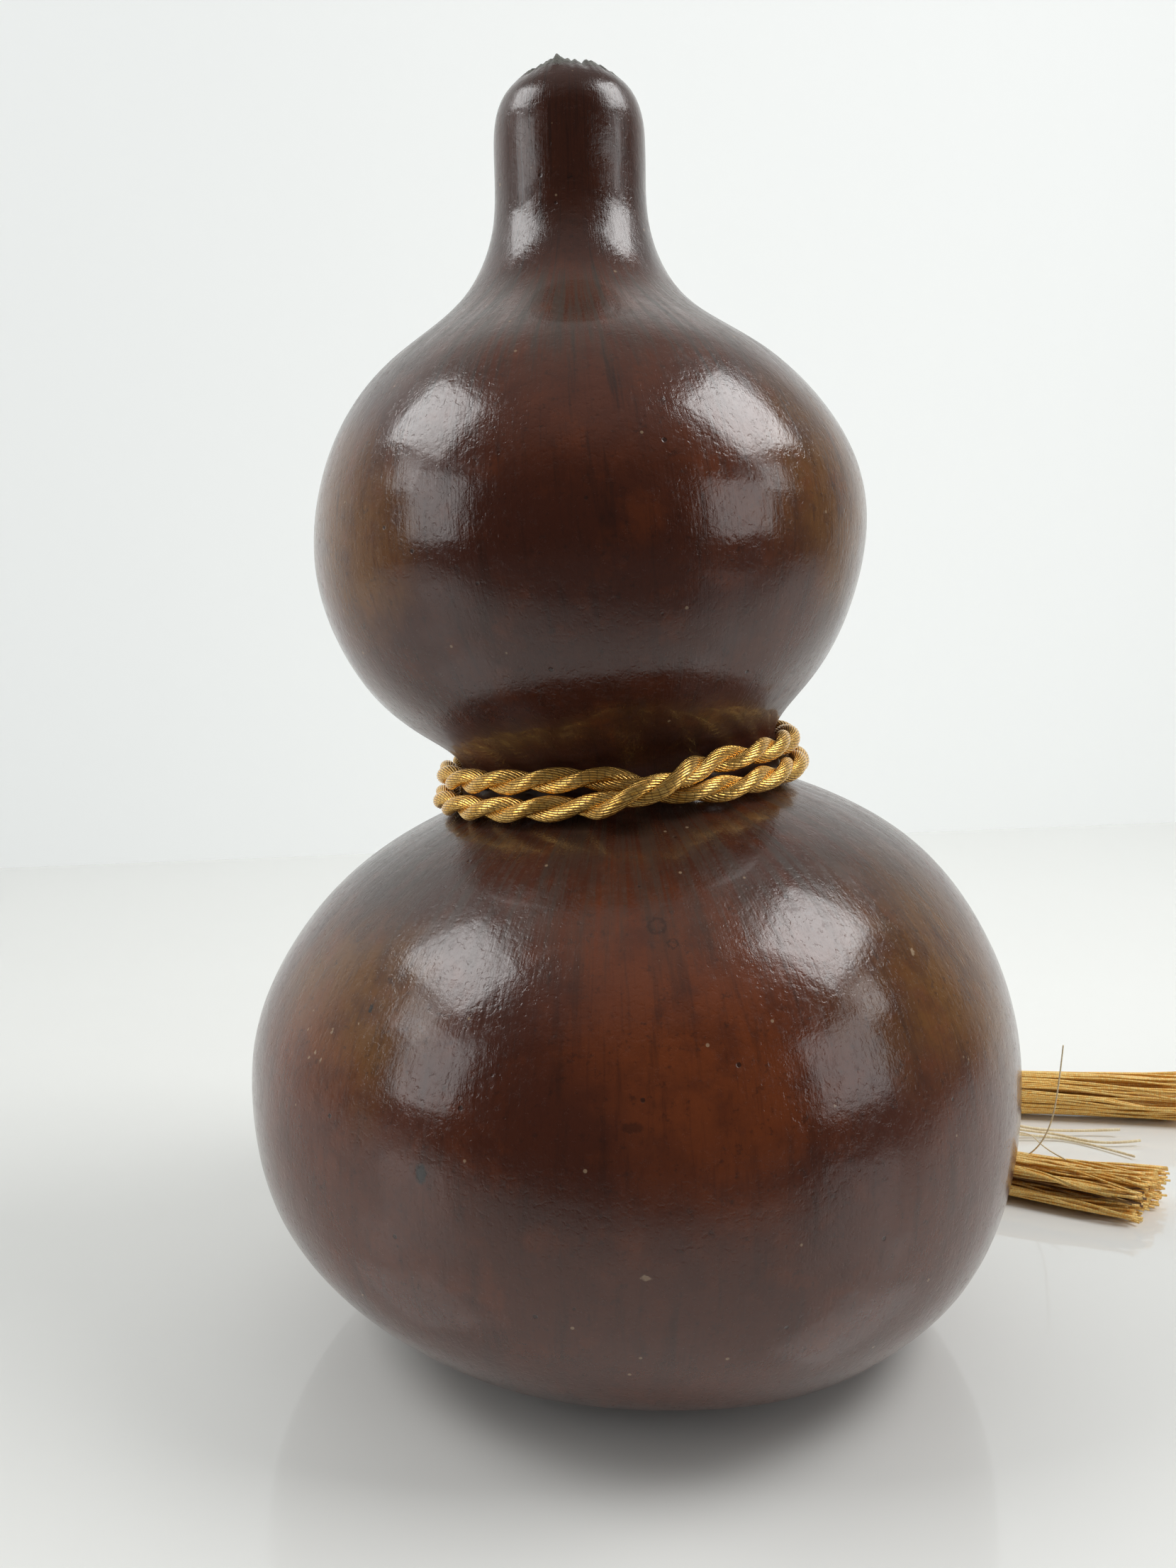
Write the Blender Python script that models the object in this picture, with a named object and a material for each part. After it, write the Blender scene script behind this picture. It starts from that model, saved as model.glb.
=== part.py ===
"""Dried bottle gourd with a twisted gold cord round its waist and two gold tassels.

The gourd is one hollow grown piece that stands on a small worn foot. The cord goes round
the waist twice, crosses itself at the front and is tied in a flat knot at the back. Its
two tails run down the back to the tassels, which lie on the same surface as the gourd.

The object faces -Y, its left is -X and it stands on Z = 0.
Dimensions below are in millimetres and degrees; meshes are written in metres.
"""
import math

import bmesh
import bpy
import numpy as np

MM = 0.001
GAP = 0.3

# Gourd: outer outline as (distance along the stem axis, radius)
OUTLINE = [
    (0, 18.8), (1.5, 31.9), (5, 49.8), (11, 60.5), (20, 68.6), (31, 73.6), (45, 75.8),
    (60, 74.7), (76, 68.5), (91, 56.4), (102.6, 36.7), (105.9, 31.3), (110.0, 29.9), (121, 38.0), (134, 48.0),
    (152, 53.0), (170, 49.2), (186, 37.1), (199, 20.9), (212, 14.8), (226, 14.1),
    (235, 12.3), (240, 8.0),
]
AXIS_LENGTH = 240.0
# Lean of the stem axis towards -X, as (distance along the axis, degrees)
LEAN = [
    (0, -5.0), (50, 0.3), (85, 3.5), (112, 6.3), (135, 8.2), (165, 5.4), (200, 1.4), (240, 1.7),
]
LEVEL_FOOT_HEIGHT = 12.5
FOOT_X = -1.8
WALL = 4.5
BORE_RADIUS = 5.0
LIP_WAVE = 0.4
OUTER_RINGS = 40
INNER_RINGS = 30
GOURD_SIDES = 44
# The inner surface keeps an even wall up to this distance, then narrows to the broken mouth
EVEN_WALL_END = 226.0
THROAT = [(232.0, 7.4), (236.5, 5.4)]
FLOOR_MARGIN = 0.3
FLOOR_DISC_RADIUS = 13.0

# Waist cord
CORD = 4.5
STRAND_SPACING = 4.75
PLY_RADIUS = 1.2
PLY_OFFSET = 1.05
PLY_PITCH = 20.0
CORD_STATION = 1.75
CORD_SIDES = 8
WAIST = 109.6
# The ring of cord hangs a little lower at the left and at the front than the gourd's section
RING_EXTRA_LEAN = 0.3
RING_DIP = 0.4
# Its lower strand lies wider than its upper one, by this much for each millimetre of height
RING_FLARE = 0.28
RING_RADIUS = 34.45
RING_STEP = 12
# At the front the upper strand of one turn crosses over, between these two angles
CROSSING = (-14.0, 27.0)
HUMP = 4.9
# Each end of the lower strand leaves the ring for the knot, as (angle, radius, height)
RING_TO_KNOT = [(135, 35.2, -2.4), (144, 37.9, -1.8), (151, 41.7, -0.1)]
KNOT_RADIUS = 43.6
KNOT_DROP = -0.2
EXIT_LENGTH = 6.0

# One strand of the knot, in strand spacings: right, up and outwards from the knot's middle
KNOT_STRAND = [
    (-3.1, 0.60, 0.30), (-1.95, 0.54, 0.55), (-1.25, 0.54, 0.34), (-0.65, 0.58, -0.30),
    (0.0, 0.98, -0.54), (0.7, 1.45, -0.28), (1.35, 1.45, 0.28), (1.85, 0.85, 0.58),
    (1.98, 0.0, 0.60),
]

# Tails: route points on the gourd's back as (distance along the axis, direction, clearance)
NEAR_TAIL_ON_GOURD = [(94, 53.5, 3.8), (81, 58, 1.8), (68, 63.5, 0.9), (55, 67.5, 0.8), (44, 70, 0.8)]
FAR_TAIL_ON_GOURD = [
    (96, 121, 4.0), (88, 120.5, 2.8), (77, 117, 1.5), (66, 114, 0.9), (55, 111.5, 0.8), (44, 110, 0.8),
]
# Then as places (x, y, z), down to the surface and along it to the tassel
NEAR_TAIL_DOWN = [
    (26.5, 76.0, 30.0), (27.0, 78.5, 19.0), (30.0, 80.0, 9.5), (35.8, 78.0, 4.0),
    (41.2, 73.8, 3.6), (46.2, 69.0, 5.7), (50.9, 64.6, 6.2),
]
FAR_TAIL_DOWN = [
    (-26.5, 76.5, 29.0), (-25.0, 79.5, 16.5), (-20.5, 84.5, 7.0), (-13.0, 89.5, 3.0),
    (0.0, 95.0, 2.8), (18.0, 98.8, 2.8), (36.0, 99.5, 2.7), (53.0, 98.3, 2.9),
    (64.0, 97.2, 4.4), (71.0, 96.3, 5.9), (78.0, 95.4, 6.2),
]
TAIL_POINT_SPACING = 9.5
END_POINT = 1.2
TAIL_BEVEL_RESOLUTION = 2

# Tassels: (distance from the cord, half width, half height, height of the middle)
HEAD = [(0, 2.8, 2.8, 6.2), (3, 5.0, 5.0, 6.2), (8, 6.2, 5.9, 6.2), (12, 5.4, 5.0, 6.0), (14.5, 4.2, 4.0, 5.9)]
NEAR_SKIRT = [
    (19, 4.3, 4.1, 5.9), (25, 6.1, 5.0, 5.6), (40, 7.2, 5.0, 5.4), (58, 9.0, 4.7, 5.1), (80, 11.4, 4.3, 4.7),
]
FAR_SKIRT = [
    (19, 4.3, 4.1, 5.9), (25, 5.7, 5.3, 6.0), (40, 6.4, 6.0, 6.4), (60, 6.7, 6.2, 6.5), (80, 6.9, 6.1, 6.4),
]
TASSEL_LENGTH = 80.0
# Heading of each tassel's middle line, as (distance from the cord, degrees from +X)
NEAR_HEADINGS = [(0, -42), (30, -24), (80, -18)]
FAR_HEADINGS = [(0, -8), (80, -5)]
# How far the cut end slants, along the tassel for each millimetre across it
NEAR_SLANT = 0.5
FAR_SLANT = 0.1
BAND_START = 14.4
BAND_END = 19.2
BAND_RADIUS = 5.5
BAND_THICKNESS = 0.75
BAND_BULGE = 0.35
BAND_SIDES = 20
TASSEL_RINGS = 17
THREAD_LOBES = 14
LOBE_DEPTH = 0.07
RAGGED_END = 1.6


def smooth_through(points, count):
    """Read a number of evenly spaced points from a natural cubic curve through the given ones."""
    p = np.asarray(points, float)
    step = np.linalg.norm(np.diff(p, axis=0), axis=1)
    knots = np.concatenate([[0.0], np.cumsum(step)])
    last = len(p) - 1
    system = np.zeros((last + 1, last + 1))
    right = np.zeros_like(p)
    system[0, 0] = 1.0
    system[last, last] = 1.0
    for i in range(1, last):
        system[i, i - 1:i + 2] = step[i - 1], 2 * (step[i - 1] + step[i]), step[i]
        right[i] = 6 * ((p[i + 1] - p[i]) / step[i] - (p[i] - p[i - 1]) / step[i - 1])
    bend = np.linalg.solve(system, right)
    where = np.linspace(0, knots[-1], count)
    i = np.clip(np.searchsorted(knots, where) - 1, 0, last - 1)
    a = ((knots[i + 1] - where) / step[i])[:, None]
    b = 1 - a
    curve = (a**3 - a) * bend[i] + (b**3 - b) * bend[i + 1]
    return a * p[i] + b * p[i + 1] + curve * (step[i]**2)[:, None] / 6


def running_sum(values, step):
    """Area under evenly spaced values, from the first one up to each."""
    return np.concatenate([[0], np.cumsum(values[1:] + values[:-1]) * step / 2])


def stem_axis(distance):
    """Place (x, z) of the curved stem axis, its lean and the tilt of the section, in radians."""
    grid = np.linspace(0, AXIS_LENGTH, 481)
    stations = smooth_through(LEAN, 481)
    lean = np.radians(np.interp(grid, stations[:, 0], stations[:, 1]))
    across = running_sum(np.sin(lean), grid[1])
    up = running_sum(np.cos(lean), grid[1])
    here = np.interp(distance, grid, lean)
    level = np.clip(distance / LEVEL_FOOT_HEIGHT, 0, 1)
    tilt = here * level * level * (3 - 2 * level)
    return FOOT_X - np.interp(distance, grid, across), np.interp(distance, grid, up), here, tilt


def gourd_point(distance, radius, direction):
    """A point on a section of the gourd; the direction is in radians, from +X towards +Y."""
    x, z, _, tilt = stem_axis(distance)
    side = radius * np.cos(direction)
    return np.array([x + side * np.cos(tilt), radius * np.sin(direction), z + side * np.sin(tilt)])


def outline_radius(distance):
    """Outer radius of the gourd at a distance along its axis."""
    outline = smooth_through(OUTLINE, 600)
    return np.interp(distance, outline[:, 0], outline[:, 1])


def wall_sections():
    """Sections (distance, radius, raggedness) up the outside, over the lip and down the inside."""
    outside = smooth_through(OUTLINE, OUTER_RINGS)
    sections = [(s, r, 0.0) for s, r in outside[:-1]]
    sections.append((outside[-1][0], outside[-1][1], 1.0))
    sections.append((AXIS_LENGTH, BORE_RADIUS, 1.0))
    sections += [(s, r, 0.0) for s, r in reversed(THROAT)]
    dense = smooth_through(OUTLINE, 400)
    slope = np.gradient(dense, axis=0)
    slope /= np.linalg.norm(slope, axis=1)[:, None]
    inside = dense - WALL * np.c_[-slope[:, 1], slope[:, 0]]
    even = inside[(dense[:, 0] < EVEN_WALL_END) & (inside[:, 0] > WALL + FLOOR_MARGIN)]
    picks = np.linspace(len(even) - 1, 0, INNER_RINGS).astype(int)
    sections += [(s, r, 0.0) for s, r in even[picks]]
    sections.append((WALL, FLOOR_DISC_RADIUS, 0.0))
    return sections


def ring_frame():
    """Middle of the ring of cord and its directions to the right, up and back."""
    x, z, lean, _ = stem_axis(WAIST)
    lean = lean + math.radians(RING_EXTRA_LEAN)
    dip = math.radians(RING_DIP)
    middle = np.array([x, 0, z])
    right = np.array([math.cos(lean), 0, math.sin(lean)])
    back = np.array([0, math.cos(dip), math.sin(dip)])
    return middle, right, np.cross(right, back), back


def ring_place(angle, radius, height):
    """Place at an angle round the waist: 0 is the front, 90 the right and 180 the back."""
    middle, right, up, back = ring_frame()
    turn = math.radians(angle)
    wide = radius - RING_FLARE * height
    return middle + right * wide * math.sin(turn) + up * height - back * wide * math.cos(turn)


def knot_strand(side):
    """Places along one strand of the knot, from its ring end to its tail end."""
    middle, right, up, back = ring_frame()
    upper = KNOT_STRAND
    lower = [(u, -v, w) for u, v, w in reversed(KNOT_STRAND[:-1])]
    places = []
    for u, v, w in upper + lower:
        outwards = back * (KNOT_RADIUS + side * w * STRAND_SPACING)
        height = KNOT_DROP + v * STRAND_SPACING
        places.append(middle + right * side * u * STRAND_SPACING + up * height + outwards)
    return places


def crossing_places(count, first_height, hump):
    """Places where a strand changes its level at the front, over the other one if it has a hump."""
    start, end = CROSSING
    places = []
    for share in np.linspace(0, 1, count):
        height = first_height * math.cos(math.pi * share)
        radius = RING_RADIUS + hump * math.sin(math.pi * share)
        places.append(ring_place(start + share * (end - start), radius, height))
    return places


def ring_turns():
    """Places of the two turns, from the left of the knot round to its right."""
    half = STRAND_SPACING / 2
    start, end = CROSSING
    to_front = np.arange(240, 360 + start - RING_STEP / 2, RING_STEP)
    once_round = np.arange(end + RING_STEP, 360 + start - RING_STEP / 2, RING_STEP)
    to_knot = np.arange(end + RING_STEP, RING_TO_KNOT[0][0] - RING_STEP / 2, RING_STEP)
    places = [ring_place(360 - angle, radius, height) for angle, radius, height in reversed(RING_TO_KNOT)]
    places += [ring_place(angle, RING_RADIUS, -half) for angle in to_front]
    places += crossing_places(7, -half, HUMP)
    places += [ring_place(angle, RING_RADIUS, half) for angle in once_round]
    places += crossing_places(5, half, 0.0)
    places += [ring_place(angle, RING_RADIUS, -half) for angle in to_knot]
    places += [ring_place(angle, radius, height) for angle, radius, height in RING_TO_KNOT]
    return places


def tail_places(on_gourd, down):
    """Places of a tail, from just below the knot to the tassel."""
    places = []
    for distance, direction, clearance in on_gourd:
        radius = outline_radius(distance) + CORD / 2 + clearance
        places.append(gourd_point(distance, radius, math.radians(direction)))
    return places + [np.array(place) for place in down]


def cord_route():
    """The whole cord as close points, and where its three pieces meet at the knot."""
    far = tail_places(FAR_TAIL_ON_GOURD, FAR_TAIL_DOWN)
    near = tail_places(NEAR_TAIL_ON_GOURD, NEAR_TAIL_DOWN)
    left = knot_strand(1)
    right = knot_strand(-1)
    places = far[::-1] + left[::-1] + ring_turns() + right + near
    route = smooth_through(places, 6000)
    beyond = int(round(EXIT_LENGTH / np.linalg.norm(route[1] - route[0])))
    left_exit = int(np.argmin(np.linalg.norm(route - left[-1], axis=1))) - beyond
    right_exit = int(np.argmin(np.linalg.norm(route - right[-1], axis=1))) + beyond
    return route, left_exit, right_exit


def resample(points, spacing):
    """Points a fixed distance apart along a line of close points, both ends kept."""
    step = np.linalg.norm(np.diff(points, axis=0), axis=1)
    along = np.concatenate([[0], np.cumsum(step)])
    count = max(2, int(round(along[-1] / spacing)) + 1)
    where = np.linspace(0, along[-1], count)
    return np.stack([np.interp(where, along, points[:, k]) for k in range(3)], axis=1)


def travelling_frames(points):
    """Two directions square to the path at each point, carried along it without twist."""
    heading = np.gradient(points, axis=0)
    heading /= np.linalg.norm(heading, axis=1)[:, None]
    side = np.cross(heading[0], [0, 0, 1])
    sides = []
    for ahead in heading:
        side = side - ahead * np.dot(side, ahead)
        side = side / np.linalg.norm(side)
        sides.append(side)
    sides = np.array(sides)
    return sides, np.cross(heading, sides)


# Blender objects
def make_material(name, colour, roughness, metallic):
    """A plain finish for one sub-part."""
    material = bpy.data.materials.new(name)
    material.use_nodes = True
    shader = material.node_tree.nodes["Principled BSDF"]
    shader.inputs["Base Color"].default_value = (*colour, 1.0)
    shader.inputs["Roughness"].default_value = roughness
    shader.inputs["Metallic"].default_value = metallic
    material.diffuse_color = (*colour, 1.0)
    return material


def add_object(name, data, material):
    """Put a mesh or a curve into the scene under its part name."""
    obj = bpy.data.objects.new(name, data)
    obj.data.materials.append(material)
    bpy.context.collection.objects.link(obj)
    return obj


def skin_rings(name, rings, material):
    """A closed mesh through rings of equal size, its two ends closed by a fan to their middle."""
    mesh = bmesh.new()
    loops = [[mesh.verts.new(point * MM) for point in ring] for ring in rings]
    for low, high in zip(loops, loops[1:]):
        for i, vertex in enumerate(low):
            j = (i + 1) % len(low)
            mesh.faces.new((vertex, low[j], high[j], high[i]))
    for ring, loop in ((rings[0], loops[0]), (rings[-1], loops[-1])):
        pole = mesh.verts.new(np.mean(ring, axis=0) * MM)
        for i, vertex in enumerate(loop):
            mesh.faces.new((vertex, loop[(i + 1) % len(loop)], pole))
    bmesh.ops.recalc_face_normals(mesh, faces=mesh.faces)
    data = bpy.data.meshes.new(name)
    mesh.to_mesh(data)
    mesh.free()
    data.shade_smooth()
    return add_object(name, data, material)


def make_gourd(material):
    """The hollow gourd: outside, ragged lip, inside and floor in one closed skin."""
    directions = np.arange(GOURD_SIDES) * 2 * math.pi / GOURD_SIDES
    rings = []
    for distance, radius, ragged in wall_sections():
        ring = []
        for turn in directions:
            wave = math.sin(3 * turn + 0.6) + math.sin(7 * turn + 2.0)
            ring.append(gourd_point(distance + ragged * LIP_WAVE * wave, radius, turn))
        rings.append(ring)
    return skin_rings("gourd", rings, material)


def make_waist_cord(route, material):
    """The two turns and the knot: two plies twisted round each other, as one closed skin."""
    stations = resample(route, CORD_STATION)
    sides, ups = travelling_frames(stations)
    spacing = np.linalg.norm(stations[1] - stations[0])
    around = np.arange(CORD_SIDES) * 2 * math.pi / CORD_SIDES
    reach = PLY_OFFSET * np.abs(np.cos(around))
    reach = reach + np.sqrt(PLY_RADIUS**2 - (PLY_OFFSET * np.sin(around))**2)
    rings = []
    for k, middle in enumerate(stations):
        turn = around - 2 * math.pi * k * spacing / PLY_PITCH
        offset = np.cos(turn)[:, None] * sides[k] + np.sin(turn)[:, None] * ups[k]
        rings.append(list(middle + offset * reach[:, None]))
    return skin_rings("waist_cord", rings, material)


def make_tail(name, route, material):
    """A free tail of the cord as a plain round tube; a point near each end squares its face."""
    points = resample(route, TAIL_POINT_SPACING)
    close = resample(route, END_POINT)
    points = np.vstack([points[:1], close[1:2], points[1:-1], close[-2:-1], points[-1:]])
    curve = bpy.data.curves.new(name, "CURVE")
    curve.dimensions = "3D"
    curve.bevel_depth = CORD / 2 * MM
    curve.bevel_resolution = TAIL_BEVEL_RESOLUTION
    curve.use_fill_caps = True
    spline = curve.splines.new("POLY")
    spline.points.add(len(points) - 1)
    for target, point in zip(spline.points, points):
        target.co = (*(point * MM), 1.0)
    spline.use_smooth = True
    return add_object(name, curve, material)


def tassel_line(start, headings, distance):
    """Place on the surface, direction ahead and direction aside, along a tassel's curved middle."""
    grid = np.linspace(0, TASSEL_LENGTH, 161)
    turn = np.radians(np.interp(grid, *np.transpose(headings)))
    x = start[0] + np.interp(distance, grid, running_sum(np.cos(turn), grid[1]))
    y = start[1] + np.interp(distance, grid, running_sum(np.sin(turn), grid[1]))
    here = np.interp(distance, grid, turn)
    ahead = np.array([math.cos(here), math.sin(here), 0])
    aside = np.array([-math.sin(here), math.cos(here), 0])
    return np.array([x, y, 0]), ahead, aside


def make_tassel_threads(name, start, headings, skirt, slant, material):
    """The wound head, the narrow neck and the ridged skirt of cut threads."""
    profile = smooth_through(HEAD + skirt, TASSEL_RINGS)
    around = np.arange(THREAD_LOBES * 2) * math.pi / THREAD_LOBES
    ridge = 1 - LOBE_DEPTH * (np.arange(THREAD_LOBES * 2) % 2)
    rings = []
    for k, (distance, wide, high, middle) in enumerate(profile):
        place, ahead, aside = tassel_line(start, headings, distance)
        across = np.cos(around) * wide * ridge
        along = GAP + slant * across * (distance / TASSEL_LENGTH)**2
        if k == len(profile) - 1:
            along = along + RAGGED_END * np.sin(5 * around + 1.3)
        up = np.sin(around) * high * ridge + middle
        ring = place + along[:, None] * ahead + across[:, None] * aside
        rings.append(list(ring + up[:, None] * np.array([0, 0, 1])))
    return skin_rings(name, rings, material)


def make_tassel_band(name, start, headings, material):
    """The binding wound round the tassel's neck, a turned ring clear of the threads."""
    place, ahead, aside = tassel_line(start, headings, (BAND_START + BAND_END) / 2)
    middle = HEAD[-1][3]
    around = np.arange(BAND_SIDES) * 2 * math.pi / BAND_SIDES
    half = (BAND_END - BAND_START) / 2
    section = []
    for share in np.linspace(0, 1, 5):
        bulge = BAND_BULGE * math.sin(math.pi * share)
        section.append((half * (2 * share - 1), BAND_RADIUS + bulge))
    section.append((half, BAND_RADIUS - BAND_THICKNESS))
    section.append((-half, BAND_RADIUS - BAND_THICKNESS))
    mesh = bmesh.new()
    loops = []
    for along, radius in section:
        across = (np.cos(around) * radius)[:, None] * aside
        up = (np.sin(around) * radius + middle)[:, None] * np.array([0, 0, 1])
        points = place + (along + GAP) * ahead + across + up
        loops.append([mesh.verts.new(point * MM) for point in points])
    for low, high in zip(loops, loops[1:] + loops[:1]):
        for i, vertex in enumerate(low):
            j = (i + 1) % len(low)
            mesh.faces.new((vertex, low[j], high[j], high[i]))
    bmesh.ops.recalc_face_normals(mesh, faces=mesh.faces)
    data = bpy.data.meshes.new(name)
    mesh.to_mesh(data)
    mesh.free()
    data.shade_smooth()
    return add_object(name, data, material)


def main():
    """Build every sub-part in its place."""
    for old in list(bpy.data.objects):
        bpy.data.objects.remove(old)
    skin = make_material("gourd_skin", (0.17, 0.035, 0.018), 0.25, 0.0)
    gold = make_material("gold_cord", (0.60, 0.40, 0.16), 0.38, 0.7)
    threads = make_material("gold_threads", (0.62, 0.43, 0.18), 0.42, 0.6)
    make_gourd(skin)
    route, left_exit, right_exit = cord_route()
    step = np.linalg.norm(route[1] - route[0])
    gap = int(round(GAP / step))
    make_waist_cord(route[left_exit:right_exit + 1], gold)
    make_tail("tail_far", route[:left_exit - gap + 1], gold)
    make_tail("tail_near", route[right_exit + gap:], gold)
    far_end = route[0]
    near_end = route[-1]
    make_tassel_threads("tassel_far_threads", far_end, FAR_HEADINGS, FAR_SKIRT, FAR_SLANT, threads)
    make_tassel_band("tassel_far_band", far_end, FAR_HEADINGS, gold)
    make_tassel_threads("tassel_near_threads", near_end, NEAR_HEADINGS, NEAR_SKIRT, NEAR_SLANT, threads)
    make_tassel_band("tassel_near_band", near_end, NEAR_HEADINGS, gold)


main()
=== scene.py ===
# %% [markdown]
# # A dried bottle gourd with a gold tassel cord
# The object is a bottle gourd that was dried, emptied through its broken stem and lacquered a
# deep red brown. A twisted gold cord goes twice round its waist and is tied at the back, and
# its two tails end in tassels that lie on the table. This lesson dresses the plain solids of
# that object: it keeps their places and sizes, and gives each surface its fine shape and its
# finish. Lengths are in millimetres until a mesh is written, because that is how a maker
# thinks of a thing this size; Blender's own unit is the metre.

# %% Load the solids
import math

import bpy
import numpy as np
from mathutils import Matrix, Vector


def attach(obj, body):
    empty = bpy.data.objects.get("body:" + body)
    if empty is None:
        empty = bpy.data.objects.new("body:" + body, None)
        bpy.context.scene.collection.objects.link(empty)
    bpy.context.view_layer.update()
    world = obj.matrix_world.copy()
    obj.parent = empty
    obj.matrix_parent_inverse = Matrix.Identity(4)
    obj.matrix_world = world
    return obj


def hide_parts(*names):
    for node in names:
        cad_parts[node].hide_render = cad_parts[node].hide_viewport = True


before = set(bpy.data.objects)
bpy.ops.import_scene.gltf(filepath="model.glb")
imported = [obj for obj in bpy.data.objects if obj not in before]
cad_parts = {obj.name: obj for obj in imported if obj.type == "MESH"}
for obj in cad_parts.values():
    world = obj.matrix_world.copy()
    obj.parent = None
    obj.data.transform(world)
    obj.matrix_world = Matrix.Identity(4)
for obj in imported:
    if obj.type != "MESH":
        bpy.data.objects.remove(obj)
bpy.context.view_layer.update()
MM = 0.001
print("solids:", ", ".join(sorted(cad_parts)))

# %% [markdown]
# ## The camera
# A phone held less than 20 cm from the gourd sees it in strong perspective, so the lens and
# the distance matter more than in a portrait from afar. They were found by fitting the
# outline of the gourd and of its mirror image in the glossy table: a 29 mm lens on a full
# frame, 25 cm in front of the middle of the gourd, a little above its waist, tipped down by
# 7.5 degrees. Depth of field stays off.

# %% Camera
CAMERA_PLACE = (-9.17, -251.5, 138.5)
CAMERA_TIP = 7.468
LENS = 29.13
SENSOR = 36.0

camera = bpy.data.cameras.new("camera")
camera.lens = LENS
camera.sensor_width = SENSOR
camera.clip_start = 10 * MM
camera_object = bpy.data.objects.new("camera", camera)
camera_object.location = [c * MM for c in CAMERA_PLACE]
camera_object.rotation_euler = (math.radians(90 - CAMERA_TIP), 0, 0)
bpy.context.collection.objects.link(camera_object)
bpy.context.scene.camera = camera_object
bpy.context.scene.view_settings.view_transform = "Standard"
print("camera", round(-CAMERA_PLACE[1]), "mm in front of the gourd's middle")

# %% [markdown]
# ## Lines through points
# Everything here is drawn from a few measured points: the gourd's outline, the route of the
# cord, the width of a tassel. Straight pieces between them would look cut with a knife, so
# one helper lays a natural cubic curve through any list of points, the way a thin strip of
# wood bends through pins on a drawing board.

# %% Smooth curve through points
def smooth_through(points, count):
    """Read a number of evenly spaced points from a natural cubic curve through the given ones."""
    p = np.asarray(points, float)
    step = np.linalg.norm(np.diff(p, axis=0), axis=1)
    knots = np.concatenate([[0.0], np.cumsum(step)])
    last = len(p) - 1
    system = np.zeros((last + 1, last + 1))
    right = np.zeros_like(p)
    system[0, 0] = 1.0
    system[last, last] = 1.0
    for i in range(1, last):
        system[i, i - 1:i + 2] = step[i - 1], 2 * (step[i - 1] + step[i]), step[i]
        right[i] = 6 * ((p[i + 1] - p[i]) / step[i] - (p[i] - p[i - 1]) / step[i - 1])
    bend = np.linalg.solve(system, right)
    where = np.linspace(0, knots[-1], count)
    i = np.clip(np.searchsorted(knots, where) - 1, 0, last - 1)
    a = ((knots[i + 1] - where) / step[i])[:, None]
    b = 1 - a
    curve = (a**3 - a) * bend[i] + (b**3 - b) * bend[i + 1]
    return a * p[i] + b * p[i + 1] + curve * (step[i]**2)[:, None] / 6


def running_sum(values, step):
    """Area under evenly spaced values, from the first one up to each."""
    return np.concatenate([[0], np.cumsum(values[1:] + values[:-1]) * step / 2])


def resample(points, spacing):
    """Points a fixed distance apart along a line of close points, both ends kept."""
    step = np.linalg.norm(np.diff(points, axis=0), axis=1)
    along = np.concatenate([[0], np.cumsum(step)])
    count = max(2, int(round(along[-1] / spacing)) + 1)
    where = np.linspace(0, along[-1], count)
    return np.stack([np.interp(where, along, points[:, k]) for k in range(3)], axis=1)


def line_length(points):
    """Length of a line of points."""
    return np.linalg.norm(np.diff(points, axis=0), axis=1).sum()


def travelling_frames(points):
    """Two directions square to the path at each point, carried along it without twist."""
    heading = np.gradient(points, axis=0)
    heading /= np.linalg.norm(heading, axis=1)[:, None]
    side = np.cross(heading[0], [0, 0, 1])
    sides = []
    for ahead in heading:
        side = side - ahead * np.dot(side, ahead)
        side = side / np.linalg.norm(side)
        sides.append(side)
    sides = np.array(sides)
    return sides, np.cross(heading, sides)


# %% [markdown]
# ## The gourd's form in numbers
# A bottle gourd hangs on the vine while it grows, so it is round about its stem, but the stem
# axis is never quite straight. The form is therefore an outline, radius against the distance
# along the axis, swept along an axis that leans a few degrees one way and back. Near the
# bottom the sections turn level, because the gourd was rubbed flat there to make it stand.

# %% Outline and axis of the gourd
OUTLINE = [
    (0, 18.8), (1.5, 31.9), (5, 49.8), (11, 60.5), (20, 68.6), (31, 73.6), (45, 75.8),
    (60, 74.7), (76, 68.5), (91, 56.4), (102.6, 36.7), (105.9, 31.3), (110.0, 29.9),
    (121, 38.0), (134, 48.0), (152, 53.0), (170, 49.2), (186, 37.1), (199, 20.9),
    (212, 14.8), (226, 14.1), (234.8, 12.2), (238.8, 8.0),
]
LIP_DISTANCE = OUTLINE[-1][0]
AXIS_LENGTH = 240.0
# Lean of the axis to the left, in degrees, against the distance along it
LEAN = [
    (0, -5.0), (50, 0.3), (85, 3.5), (112, 6.3), (135, 8.2), (165, 5.4), (200, 1.4), (240, 1.7),
]
LEVEL_FOOT_HEIGHT = 12.5
FOOT_X = -1.8


def stem_axis(distance):
    """Place (x, z) of the curved stem axis, its lean and the tilt of the section, in radians."""
    grid = np.linspace(0, AXIS_LENGTH, 481)
    stations = smooth_through(LEAN, 481)
    lean = np.radians(np.interp(grid, stations[:, 0], stations[:, 1]))
    across = running_sum(np.sin(lean), grid[1])
    up = running_sum(np.cos(lean), grid[1])
    here = np.interp(distance, grid, lean)
    level = np.clip(distance / LEVEL_FOOT_HEIGHT, 0, 1)
    tilt = here * level * level * (3 - 2 * level)
    return FOOT_X - np.interp(distance, grid, across), np.interp(distance, grid, up), here, tilt


def gourd_point(distance, radius, direction):
    """Points of the gourd; directions are in radians, from +X towards +Y."""
    x, z, _, tilt = stem_axis(distance)
    side = radius * np.cos(direction)
    level = radius * np.sin(direction)
    return np.stack([x + side * np.cos(tilt), level + 0 * x, z + side * np.sin(tilt)], axis=-1)


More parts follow.
